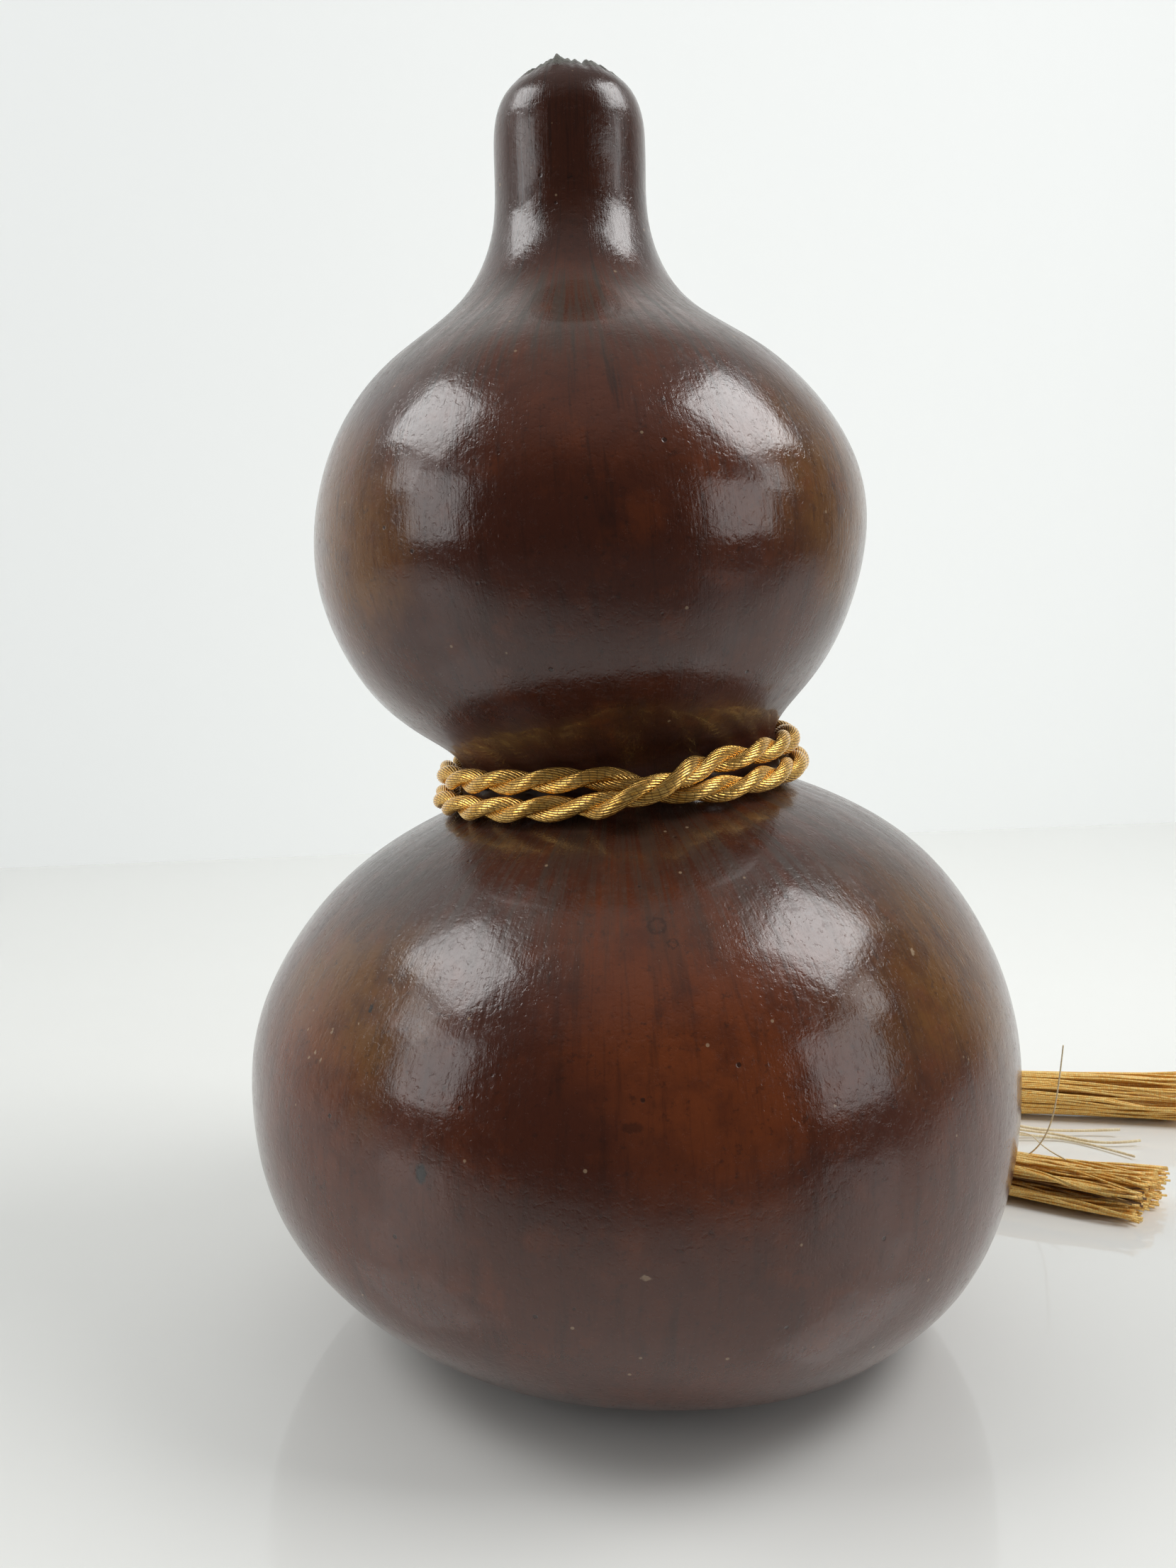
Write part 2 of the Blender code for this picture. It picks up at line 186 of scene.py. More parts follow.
def outline_radius(distance):
    """Outer radius of the gourd at a distance along its axis."""
    outline = smooth_through(OUTLINE, 600)
    return np.interp(distance, outline[:, 0], outline[:, 1])


def on_skin(distance, degrees):
    """A place on the gourd's outer skin, by distance along the axis and direction in degrees."""
    return gourd_point(distance, outline_radius(distance), math.radians(degrees))


# %% [markdown]
# ## The route of the cord
# One cord makes everything gold here. It goes round the waist twice. At the front the lower
# strand climbs over the upper one, which is how two turns swap places when they are pulled
# tight, and at the back its ends are tied in a flat knot. Its two tails run down the gourd's
# back and along the table. The route is written as places round the waist, places in the
# knot and places on the table, then one smooth curve is laid through them all.

# %% Route points
CORD = 4.5
STRAND_SPACING = 4.75
WAIST = 109.6
print("waist girth", round(2 * math.pi * float(outline_radius(WAIST))), "mm")
# The ring of cord hangs a little lower at the left and at the front than the gourd's section
RING_EXTRA_LEAN = 0.3
RING_DIP = 0.4
# Its lower strand lies wider than its upper one, by this much for each millimetre of height
RING_FLARE = 0.28
RING_RADIUS = 34.45
RING_STEP = 12
CROSSING = (-14.0, 27.0)
HUMP = 4.9
RING_TO_KNOT = [(135, 35.2, -2.4), (144, 37.9, -1.8), (151, 41.7, -0.1)]
KNOT_RADIUS = 43.6
KNOT_DROP = -0.2
EXIT_LENGTH = 6.0
GAP = 0.3

# One strand of the knot, in strand spacings: right, up and outwards from the knot's middle
KNOT_STRAND = [
    (-3.1, 0.60, 0.30), (-1.95, 0.54, 0.55), (-1.25, 0.54, 0.34), (-0.65, 0.58, -0.30),
    (0.0, 0.98, -0.54), (0.7, 1.45, -0.28), (1.35, 1.45, 0.28), (1.85, 0.85, 0.58),
    (1.98, 0.0, 0.60),
]
# Tails on the gourd's back as (distance along the axis, direction, clearance)
NEAR_TAIL_ON_GOURD = [(94, 53.5, 3.8), (81, 58, 1.8), (68, 63.5, 0.9), (55, 67.5, 0.8), (44, 70, 0.8)]
FAR_TAIL_ON_GOURD = [
    (96, 121, 4.0), (88, 120.5, 2.8), (77, 117, 1.5), (66, 114, 0.9), (55, 111.5, 0.8), (44, 110, 0.8),
]
# Then as places (x, y, z), down to the table and along it to the tassel
NEAR_TAIL_DOWN = [
    (26.5, 76.0, 30.0), (27.0, 78.5, 19.0), (30.0, 80.0, 9.5), (35.8, 78.0, 4.0),
    (41.2, 73.8, 3.6), (46.2, 69.0, 5.7), (50.9, 64.6, 6.2),
]
FAR_TAIL_DOWN = [
    (-26.5, 76.5, 29.0), (-25.0, 79.5, 16.5), (-20.5, 84.5, 7.0), (-13.0, 89.5, 3.0),
    (0.0, 95.0, 2.8), (18.0, 98.8, 2.8), (36.0, 99.5, 2.7), (53.0, 98.3, 2.9),
    (64.0, 97.2, 4.4), (71.0, 96.3, 5.9), (78.0, 95.4, 6.2),
]


# %% Places round the waist and through the knot
def ring_frame():
    """Middle of the ring of cord and its directions to the right, up and back."""
    x, z, lean, _ = stem_axis(WAIST)
    lean = lean + math.radians(RING_EXTRA_LEAN)
    dip = math.radians(RING_DIP)
    middle = np.array([x, 0, z])
    right = np.array([math.cos(lean), 0, math.sin(lean)])
    back = np.array([0, math.cos(dip), math.sin(dip)])
    return middle, right, np.cross(right, back), back


def ring_place(angle, radius, height):
    """Place at an angle round the waist: 0 is the front, 90 the right and 180 the back."""
    middle, right, up, back = ring_frame()
    turn = math.radians(angle)
    wide = radius - RING_FLARE * height
    return middle + right * wide * math.sin(turn) + up * height - back * wide * math.cos(turn)


def knot_strand(side):
    """Places along one strand of the knot, from its ring end to its tail end."""
    middle, right, up, back = ring_frame()
    lower = [(u, -v, w) for u, v, w in reversed(KNOT_STRAND[:-1])]
    places = []
    for u, v, w in KNOT_STRAND + lower:
        outwards = back * (KNOT_RADIUS + side * w * STRAND_SPACING)
        height = KNOT_DROP + v * STRAND_SPACING
        places.append(middle + right * side * u * STRAND_SPACING + up * height + outwards)
    return places


def crossing_places(count, first_height, hump):
    """Places where a strand changes its level at the front, over the other one if it has a hump."""
    start, end = CROSSING
    places = []
    for share in np.linspace(0, 1, count):
        height = first_height * math.cos(math.pi * share)
        radius = RING_RADIUS + hump * math.sin(math.pi * share)
        places.append(ring_place(start + share * (end - start), radius, height))
    return places


def ring_turns():
    """Places of the two turns, from the left of the knot round to its right."""
    half = STRAND_SPACING / 2
    start, end = CROSSING
    to_front = np.arange(240, 360 + start - RING_STEP / 2, RING_STEP)
    once_round = np.arange(end + RING_STEP, 360 + start - RING_STEP / 2, RING_STEP)
    to_knot = np.arange(end + RING_STEP, RING_TO_KNOT[0][0] - RING_STEP / 2, RING_STEP)
    places = [ring_place(360 - angle, radius, height) for angle, radius, height in reversed(RING_TO_KNOT)]
    places += [ring_place(angle, RING_RADIUS, -half) for angle in to_front]
    places += crossing_places(7, -half, HUMP)
    places += [ring_place(angle, RING_RADIUS, half) for angle in once_round]
    places += crossing_places(5, half, 0.0)
    places += [ring_place(angle, RING_RADIUS, -half) for angle in to_knot]
    places += [ring_place(angle, radius, height) for angle, radius, height in RING_TO_KNOT]
    return places


# %% The whole route and where it is cut into waist cord and tails
def tail_places(on_gourd, down):
    """Places of a tail, from just below the knot to the tassel."""
    places = []
    for distance, direction, clearance in on_gourd:
        radius = outline_radius(distance) + CORD / 2 + clearance
        places.append(gourd_point(distance, radius, math.radians(direction)))
    return places + [np.array(place) for place in down]


def cord_route():
    """The whole cord as close points, and where its three pieces meet at the knot."""
    far = tail_places(FAR_TAIL_ON_GOURD, FAR_TAIL_DOWN)
    near = tail_places(NEAR_TAIL_ON_GOURD, NEAR_TAIL_DOWN)
    left = knot_strand(1)
    right = knot_strand(-1)
    places = far[::-1] + left[::-1] + ring_turns() + right + near
    route = smooth_through(places, 6000)
    beyond = int(round(EXIT_LENGTH / np.linalg.norm(route[1] - route[0])))
    left_exit = int(np.argmin(np.linalg.norm(route - left[-1], axis=1))) - beyond
    right_exit = int(np.argmin(np.linalg.norm(route - right[-1], axis=1))) + beyond
    return route, left_exit, right_exit


route, left_exit, right_exit = cord_route()
gap_points = int(round(GAP / np.linalg.norm(route[1] - route[0])))
waist_line = route[left_exit:right_exit + 1]
far_tail_line = route[:left_exit - gap_points + 1][::-1]
near_tail_line = route[right_exit + gap_points:]
for title, line in (("waist", waist_line), ("far tail", far_tail_line), ("near tail", near_tail_line)):
    print(title, round(line_length(line), 1), "mm long")

# %% [markdown]
# ## Meshes from rings
# A cord, a thread, a tassel's head and the gourd itself are all rings of points, one behind
# the other. One helper joins the rings with quads and closes both ends. It takes many equal
# tubes at once, so that a tassel of a hundred threads is one mesh, and it can store a value
# for each point, which a material later reads to tell one thread from the next.

# %% Mesh helper
def tubes_mesh(name, tubes, values=None):
    """One mesh of closed tubes. tubes has the shape (tube, ring, side, 3), in millimetres."""
    tubes = np.asarray(tubes, float)
    count, rings, sides = tubes.shape[:3]
    first = (np.arange(count) * rings * sides)[:, None, None]
    ring = (np.arange(rings - 1) * sides)[None, :, None]
    side = np.arange(sides)[None, None, :]
    following = (side + 1) % sides
    low = first + ring
    quads = np.stack([low + side, low + following, low + sides + following, low + sides + side], axis=-1)
    faces = quads.reshape(-1, 4).tolist()
    for tube in range(count):
        start = tube * rings * sides
        end = start + (rings - 1) * sides
        faces.append(list(range(start + sides - 1, start - 1, -1)))
        faces.append(list(range(end, end + sides)))
    mesh = bpy.data.meshes.new(name)
    mesh.from_pydata((tubes.reshape(-1, 3) * MM).tolist(), [], faces)
    for key, value in (values or {}).items():
        value = np.asarray(value, float)
        if value.shape[-1] == 3 and value.ndim == tubes.ndim:
            layer = mesh.attributes.new(key, "FLOAT_VECTOR", "POINT")
            layer.data.foreach_set("vector", value.reshape(-1))
        else:
            layer = mesh.attributes.new(key, "FLOAT", "POINT")
            layer.data.foreach_set("value", value.reshape(-1))
    mesh.shade_smooth()
    piece = bpy.data.objects.new(name, mesh)
    bpy.context.collection.objects.link(piece)
    return piece


def triangles(piece):
    """Number of triangles of a piece."""
    piece.data.calc_loop_triangles()
    return len(piece.data.loop_triangles)


# %% [markdown]
# ## The twisted cord
# Seen close, the cord is two plies twisted round each other. Each ply is a bundle of gold
# threads that is twisted the other way, so that on its surface the threads run nearly along
# the cord. That is how a balanced rope is laid, and it gives the cord its leaf shaped lobes.
# The gaps between the threads are dark, partly from the shade of their modelled shape and partly
# from painted shade, and that is most of what makes it look like metal thread and not like
# plastic. The plies and their threads are modelled: each ply is a tube whose section has a
# ridge for each thread. Each point keeps three values for the finish. "lay" runs along the
# threads, "recess_shade" is 1 in the groove between two threads, where the finish paints
# shade, and "tone" differs from thread to thread.

# %% Plies of the cord
PLY_PITCH = 20.0
PLY_OFFSET = 1.02
PLY_RADIUS = 1.34
PLY_THREADS = 15
POINTS_PER_THREAD = 5
# Height of a thread over its groove, and its shape from one groove to the next
THREAD_RIDGE = 0.19
RIDGE_SHAPE = np.array([0.0, 0.80, 1.0, 1.0, 0.80])
THREAD_LAY = 24.0
RING_SPACING = 0.66
# Each ply's seed gives it its own thread colours and its own place in the finish's noise
PLY_SEEDS = (5, 12)


def ply_rings(line, turn_at_start, seed):
    """Rings, lay, depth and tone of one ply that winds round a line."""
    stations = resample(line, RING_SPACING)
    along = np.arange(len(stations)) * line_length(stations) / (len(stations) - 1)
    sides, ups = travelling_frames(stations)
    turn = turn_at_start - 2 * math.pi * along / PLY_PITCH
    middle = stations + PLY_OFFSET * (np.cos(turn)[:, None] * sides + np.sin(turn)[:, None] * ups)
    ply_sides, ply_ups = travelling_frames(middle)
    count = PLY_THREADS * POINTS_PER_THREAD
    around = np.arange(count) * 2 * math.pi / count
    ridge = RIDGE_SHAPE[np.arange(count) % POINTS_PER_THREAD]
    angle = around[None, :] + (2 * math.pi * along / THREAD_LAY)[:, None]
    radius = PLY_RADIUS - THREAD_RIDGE * (1 - ridge)
    rings = middle[:, None] + radius[None, :, None] * (
        np.cos(angle)[..., None] * ply_sides[:, None] + np.sin(angle)[..., None] * ply_ups[:, None])
    lay = np.empty(rings.shape)
    lay[..., 0] = 3 * np.cos(around) + seed
    lay[..., 1] = 3 * np.sin(around)
    lay[..., 2] = along[:, None]
    random = np.random.default_rng(seed)
    thread_tone = random.random(PLY_THREADS)
    tone = np.repeat(thread_tone, POINTS_PER_THREAD)[None, :] + 0 * angle
    # 1 at the bottom of the groove between two threads, where the finish paints shade
    recess_shade = (1 - ridge)[None, :] + 0 * angle
    return rings, lay, recess_shade, tone


def twisted_cord(name, line, turn_at_start, plies=(0, 1)):
    """The plies of a cord along a line, as one piece."""
    made = [ply_rings(line, turn_at_start + math.pi * ply, PLY_SEEDS[ply]) for ply in plies]
    rings, lay, recess_shade, tone = (np.stack(part) for part in zip(*made))
    return tubes_mesh(name, rings, {"lay": lay, "recess_shade": recess_shade, "tone": tone})


# %% Waist cord
# Where the first ply stands at each cord's start, in radians round the cord
WAIST_TURN = 0.4
FAR_TAIL_TURN = 1.0
NEAR_TAIL_TURN = 2.0

waist_plies = []
for number, word in enumerate(("first", "second")):
    ply = twisted_cord(f"waist_cord_{word}_ply", waist_line, WAIST_TURN, plies=(number,))
    waist_plies.append(ply)
    print(ply.name, triangles(ply), "triangles")

# %% [markdown]
# ## The tails
# The tails are the same cord, and they are free: they hang from the knot and lie on the
# table. Such a cord is limp, so it follows the gourd's back and settles on the table in easy
# curves.

# %% Tails
far_tail = twisted_cord("tail_far_cord", far_tail_line, FAR_TAIL_TURN)
near_tail = twisted_cord("tail_near_cord", near_tail_line, NEAR_TAIL_TURN)
print("tails", triangles(far_tail) + triangles(near_tail), "triangles")

# %% [markdown]
# ## The tassels
# A tassel is made by laying a hank of threads over the cord's end, tying it below the bulge
# and cutting the loops open. So the outer threads run over the head, are pinched by the
# binding and open into the skirt, and inside the skirt there are as many again. Each thread
# is a tube of its own, because the skirt is seen from close by and its cut end shows them
# one by one. They keep to the plain solid's half width, half height and middle height, and
# wander a little more the further they are from the binding. The near tassel has parted into
# two locks: the threads between them have sunk in, and lie in the locks' shade.

# %% Form of the tassels
# (distance, half width, half height, height of the middle)
HEAD = [
    (0, 2.8, 2.8, 6.2), (3, 5.0, 5.0, 6.2), (8, 6.2, 5.9, 6.2), (12, 5.4, 5.0, 6.0), (14.5, 4.2, 4.0, 5.9),
]
NECK = (19, 4.3, 4.1, 5.9)
NEAR_SKIRT = [NECK, (25, 6.1, 5.0, 5.6), (40, 7.2, 5.0, 5.4), (58, 9.0, 4.7, 5.1), (80, 11.4, 4.3, 4.7)]
FAR_SKIRT = [NECK, (25, 5.7, 5.3, 6.0), (40, 6.4, 6.0, 6.4), (60, 6.7, 6.2, 6.5), (80, 6.9, 6.1, 6.4)]
TASSEL_LENGTH = 80.0
# (distance, direction of the tassel's middle line in degrees from +X towards +Y)
NEAR_HEADINGS = [(0, -42), (30, -24), (80, -18)]
FAR_HEADINGS = [(0, -8), (80, -5)]
# How far the cut end slants: distance gained for each millimetre aside
NEAR_SLANT = 0.5
FAR_SLANT = 0.1
BAND_START = 14.4
BAND_END = 19.2


def tassel_line(start, headings, distance):
    """Place on the surface, direction ahead and direction aside, along a tassel's curved middle."""
    grid = np.linspace(0, TASSEL_LENGTH + 10, 181)
    turn = np.radians(np.interp(grid, *np.transpose(headings)))
    x = start[0] + np.interp(distance, grid, running_sum(np.cos(turn), grid[1]))
    y = start[1] + np.interp(distance, grid, running_sum(np.sin(turn), grid[1]))
    here = np.interp(distance, grid, turn)
    ahead = np.stack([np.cos(here), np.sin(here), 0 * here], axis=-1)
    aside = np.stack([-np.sin(here), np.cos(here), 0 * here], axis=-1)
    return np.stack([x, y, 0 * x], axis=-1), ahead, aside


# %% Threads of a tassel
THREAD_RADIUS = 0.27
THREAD_SIDES = 6
THREAD_RINGS = 46
HEAD_THREADS = 66
INNER_THREADS = 110
# How uneven the cut end is, how far the threads' ends curl and how strongly a lock pulls them in
RAGGED_CUT = 3.5
END_CURL = 0.9
LOCK_PULL = 0.35
# Where the near skirt has parted: direction round the skirt and half width, in degrees
PARTING = 172
PARTING_WIDTH = 22
# A thread's painted shade in the finish, "recess_shade", for each share of the way that it has sunk in
PARTING_SHADE = 2.2


def thread_tubes(lines, radius, sides=THREAD_SIDES):
    """Round tubes of equal thickness along several lines of equal length."""
    around = np.arange(sides) * 2 * math.pi / sides
    tubes = []
    for line in lines:
        side, up = travelling_frames(line)
        ring = np.cos(around)[None, :, None] * side[:, None] + np.sin(around)[None, :, None] * up[:, None]
        tubes.append(line[:, None] + radius * ring)
    return np.array(tubes)


def bundle(name, lines, radius, seed, sides=THREAD_SIDES, shade=0.0):
    """Threads along several lines as one piece, with the values its finish reads."""
    tubes = thread_tubes(lines, radius, sides)
    random = np.random.default_rng(seed)
    tone = random.random(len(lines))[:, None, None] + np.zeros(tubes.shape[:3])
    lay = np.empty(tubes.shape)
    lay[..., :2] = random.random((len(lines), 1, 1, 2)) * 40
    lay[..., 0] += np.cos(np.arange(sides) * 2 * math.pi / sides) * 0.3
    steps = np.linalg.norm(np.diff(lines, axis=1), axis=2)
    along = np.concatenate([np.zeros((len(lines), 1)), np.cumsum(steps, axis=1)], axis=1)
    lay[..., 2] = along[:, :, None]
    # How much painted shade each thread gets in the finish
    recess_shade = np.zeros(tubes.shape[:3]) + np.asarray(shade)[..., None]
    return tubes_mesh(name, tubes, {"lay": lay, "recess_shade": recess_shade, "tone": tone})


def skirt_lines(start, headings, skirt, slant, count, seed, inner, swirl, spread, locks, parting):
    """Middle lines of a tassel's threads, over the head if they are outer ones, and their shade."""
    random = np.random.default_rng(seed)
    profile = smooth_through(HEAD + skirt, 400)
    lines = []
    shades = []
    for number in range(count):
        angle = 2 * math.pi * (number + 0.6 * random.random()) / count
        share = 1.0
        begin = 0.9
        if inner:
            angle = 2 * math.pi * random.random()
            share = math.sqrt(0.05 + 0.75 * random.random())
            begin = BAND_START + 1.0
        end = TASSEL_LENGTH - RAGGED_CUT * random.random()**2
        distance = np.linspace(begin, end, THREAD_RINGS)
        wide, high, middle = (np.interp(distance, profile[:, 0], profile[:, k]) for k in (1, 2, 3))
        loose = np.clip((distance - BAND_END) / (TASSEL_LENGTH - BAND_END), 0, 1)
        lock = math.radians(360 / locks * round(angle * locks / (2 * math.pi)))
        pull = LOCK_PULL * loose * math.sin(lock - angle)
        waves = distance / random.uniform(24, 50) + random.random()
        angles = angle + swirl * loose + pull + spread * loose * np.sin(2 * math.pi * waves)
        near_parting = np.exp(-((np.degrees(angles) % 360 - PARTING) / PARTING_WIDTH)**2)
        sunk = parting * near_parting * np.clip(loose * 4, 0, 1)
        fill = share * (1 - 0.06 * loose * random.random()) * (1 - sunk)
        across = np.cos(angles) * (wide - THREAD_RADIUS - 0.1) * fill
        up = np.sin(angles) * (high - THREAD_RADIUS - 0.1) * fill
        curl = loose**4 * random.normal(0, END_CURL, 2)[:, None]
        along = distance + GAP + slant * across * (distance / TASSEL_LENGTH)**2
        place, _, aside = tassel_line(start, headings, along)
        heights = np.maximum(middle + up + curl[1], THREAD_RADIUS + 0.15)
        line = place + (across + curl[0])[:, None] * aside
        line[:, 2] = heights
        lines.append(line)
        shades.append(PARTING_SHADE * sunk)
    return np.array(lines), np.array(shades)


def make_skirt(name, start, headings, skirt, slant, seed, swirl, spread, locks, parting=0.0):
    """All threads of a tassel as one piece."""
    form = (start, headings, skirt, slant)
    loose = (swirl, spread, locks, parting)
    outer, outer_shade = skirt_lines(*form, HEAD_THREADS, seed, False, *loose)
    inner, inner_shade = skirt_lines(*form, INNER_THREADS, seed + 1, True, *loose)
    shade = np.concatenate([outer_shade, inner_shade])
    return bundle(name, np.concatenate([outer, inner]), THREAD_RADIUS, seed + 2, shade=shade)


near_start = near_tail_line[-1]
far_start = far_tail_line[-1]
near_skirt = make_skirt(
    "tassel_near_skirt", near_start, NEAR_HEADINGS, NEAR_SKIRT, NEAR_SLANT,
    seed=21, swirl=0.3, spread=0.20, locks=5, parting=0.6)
far_skirt = make_skirt(
    "tassel_far_skirt", far_start, FAR_HEADINGS, FAR_SKIRT, FAR_SLANT,
    seed=41, swirl=0.6, spread=0.09, locks=9)
print("skirts", triangles(near_skirt), triangles(far_skirt), "triangles")

# %% [markdown]
# Under the threads of the head lies the knot that stops the cord from slipping out. It only
# shows as darkness between the threads, so a plain form just under them is enough, painted
# all over in the dark brown of painted shade.

# %% Heads
CORE_END = (25, 5.4, 4.9, 5.7)
CORE_RINGS = 22
CORE_SIDES = 28
# How far the core lies under the outside of the head, and how much further on it starts
CORE_UNDER = 0.75
CORE_START = 0.5


def make_core(name, start, headings):
    """The filled middle of a tassel's head and neck, just under its outer threads."""
    around = np.arange(CORE_SIDES) * 2 * math.pi / CORE_SIDES
    rings = []
    for distance, wide, high, middle in smooth_through(HEAD + [NECK, CORE_END], CORE_RINGS):
        place, _, aside = tassel_line(start, headings, distance + GAP + CORE_START)
        across = np.cos(around) * max(wide - CORE_UNDER, 0.4)
        up = np.sin(around) * max(high - CORE_UNDER, 0.4) + middle
        rings.append(place + across[:, None] * aside + up[:, None] * np.array([0, 0, 1]))
    rings = np.array(rings)[None]
    # The whole core is full painted shade: the finish gives it the dark brown of the grooves
    values = {"lay": rings.copy(), "recess_shade": np.ones(rings.shape[:3]), "tone": 0 * rings[..., 0]}
    return tubes_mesh(name, rings, values)


near_core = make_core("tassel_near_core", near_start, NEAR_HEADINGS)
far_core = make_core("tassel_far_core", far_start, FAR_HEADINGS)
print("cores", triangles(near_core) + triangles(far_core), "triangles")

# %% Bindings
BINDING_TURNS = 6.5
POINTS_PER_TURN = 40
BINDING_RADIUS = 5.12
BINDING_THREAD = 0.43
# The share of the winding over which an end dives, and how deep
TUCK_SHARE = 0.05
TUCK_DEPTH = 0.9


def make_binding(name, start, headings, seed):
    """The thread wound round the neck, its two ends tucked in under the turns."""
    count = int(BINDING_TURNS * POINTS_PER_TURN)
    share = np.linspace(0, 1, count)
    turn = 2 * math.pi * BINDING_TURNS * share
    tuck = np.minimum(np.clip(share / TUCK_SHARE, 0, 1), np.clip((1 - share) / TUCK_SHARE, 0, 1))
    radius = BINDING_RADIUS - TUCK_DEPTH * (1 - tuck)
    middle_distance = (BAND_START + BAND_END) / 2
    place, ahead, aside = tassel_line(start, headings, np.full(count, middle_distance))
    half = (BAND_END - BAND_START) / 2 - BINDING_THREAD
    line = place + (GAP + half * (2 * share - 1))[:, None] * ahead
    line = line + (radius * np.cos(turn))[:, None] * aside
    line[:, 2] = HEAD[-1][3] + radius * np.sin(turn)
    return bundle(name, line[None], BINDING_THREAD, seed, sides=10)


near_binding = make_binding("tassel_near_binding", near_start, NEAR_HEADINGS, 3)
far_binding = make_binding("tassel_far_binding", far_start, FAR_HEADINGS, 4)
print("bindings", triangles(near_binding) + triangles(far_binding), "triangles")

# %% [markdown]
# A few threads have worked loose. Three pale ones stick out of the far tassel towards the
# viewer, a thin one springs up out of the near tassel and a short one lies across it. They
# are what the eye takes for the life of a real tassel, and they cost almost nothing.

# %% Stray threads
FAR_STRAYS = [
    [(84, 90, 5.5), (94, 80, 5.0), (107.8, 73.8, 3.2), (122.6, 75.0, 1.6), (133.7, 74.3, 2.2)],
    [(83, 89, 4.4), (93, 79, 4), (107, 73.3, 2.6), (117.1, 73.1, 1.2), (123.5, 69.5, 1), (136.7, 68.5, 1.6)],
]
THIN_STRAY = [
    (82, 88, 3.2), (93, 78, 2.6), (106, 72, 1.8), (117, 71.6, 0.9), (123.3, 68, 0.7), (131.7, 60, 0.9),
]
STANDING_STRAY = [(91, 45, 6.5), (97.5, 42.5, 9), (101.8, 41.5, 15.5), (103.4, 41, 24), (104.4, 41, 37.2)]
SHORT_STRAY = [(98, 68, 5), (102.7, 62, 6.5), (102.3, 50.3, 9.8), (102.1, 40, 11.2), (103.8, 34.5, 11.4)]


def make_strays(name, routes, radius, seed, sides=THREAD_SIDES):
    """Loose threads along a few routes as one piece."""
    lines = np.array([smooth_through(points, 60) for points in routes])
    return bundle(name, lines, radius, seed, sides=sides)


far_strays = make_strays("tassel_far_strays", FAR_STRAYS, 0.38, 61, sides=8)
thin_stray = make_strays("tassel_far_thin_stray", [THIN_STRAY], 0.32, 63)
near_strays = make_strays("tassel_near_strays", [STANDING_STRAY, SHORT_STRAY], 0.19, 62)
strays = (far_strays, thin_stray, near_strays)
print("strays", sum(triangles(piece) for piece in strays), "triangles")

# %% [markdown]
# ## The gourd's skin as a fine mesh
# The solid has 44 flat sides. Here the same outline is read at many more places, so that a
# highlight runs over it without a facet. A grown skin is never quite even: it has soft lumps
# a finger wide and a tenth of a millimetre high, which make the edge of a reflection swim.
# They are real height here. The stem was broken off, not cut, so the lip is ragged.

# %% Fine skin
SKIN_SIDES = 320
SKIN_RINGS = 236
WALL = 4.5
BORE_RADIUS = 5.0
LIP_WAVE = 0.4
EVEN_WALL_END = 226.0
THROAT = [(232.0, 7.4), (236.5, 5.4)]
FLOOR_DISC_RADIUS = 13.0
INSIDE_RINGS = 34
LUMP_HEIGHT = 0.020
# Under the cord the skin is this much fuller than the plain solid, so that no light shows through
UNDER_CORD = 1.6
# Radius of the even cylinder on which the skin's fibres are laid out
FIBRE_RADIUS = 55.0


def soft_lumps(points, seed, count, shortest, longest):
    """A sum of plane waves in many directions: a gentle, even unevenness around zero."""
    random = np.random.default_rng(seed)
    total = np.zeros(points.shape[:-1])
    for _ in range(count):
        direction = random.normal(size=3)
        direction /= np.linalg.norm(direction)
        wave = random.uniform(shortest, longest)
        total += np.sin(points @ direction * (2 * math.pi / wave) + random.uniform(0, 6.3))
    return total


def lip_height(direction):
    """Height of the broken lip above its plain ring: the solid's slow wave and finer breaks."""
    slow = np.sin(3 * direction + 0.6) + np.sin(7 * direction + 2.0)
    fine = np.sin(17 * direction + 1.0) + 0.8 * np.sin(29 * direction + 4.0) + 0.5 * np.sin(47 * direction)
    return LIP_WAVE * slow + 0.20 * fine


def skin_sections():
    """Sections (distance, radius, raggedness, outside) over the lip and down the inside."""
    outside = smooth_through(OUTLINE, SKIN_RINGS)
    outside[:, 1] += UNDER_CORD * np.exp(-((outside[:, 0] - WAIST) / 3.4)**2)
    ragged = np.clip((outside[:, 0] - (LIP_DISTANCE - 2.5)) / 2.5, 0, 1)
    sections = [(s, r, k, 1.0) for (s, r), k in zip(outside, ragged)]
    sections += [(LIP_DISTANCE + 0.2, 7.2, 1.0, 1.0), (LIP_DISTANCE + 0.1, 6.0, 1.0, 1.0)]
    sections.append((LIP_DISTANCE - 0.2, BORE_RADIUS, 1.0, 0.0))
    sections += [(s, r, 0.0, 0.0) for s, r in reversed(THROAT)]
    dense = smooth_through(OUTLINE, 400)
    slope = np.gradient(dense, axis=0)
    slope /= np.linalg.norm(slope, axis=1)[:, None]
    inside = dense - WALL * np.c_[-slope[:, 1], slope[:, 0]]
    even = inside[(dense[:, 0] < EVEN_WALL_END) & (inside[:, 0] > WALL + GAP)]
    picks = np.linspace(len(even) - 1, 0, INSIDE_RINGS).astype(int)
    sections += [(s, r, 0.0, 0.0) for s, r in even[picks]]
    sections.append((WALL, FLOOR_DISC_RADIUS, 0.0, 0.0))
    return np.array(sections)


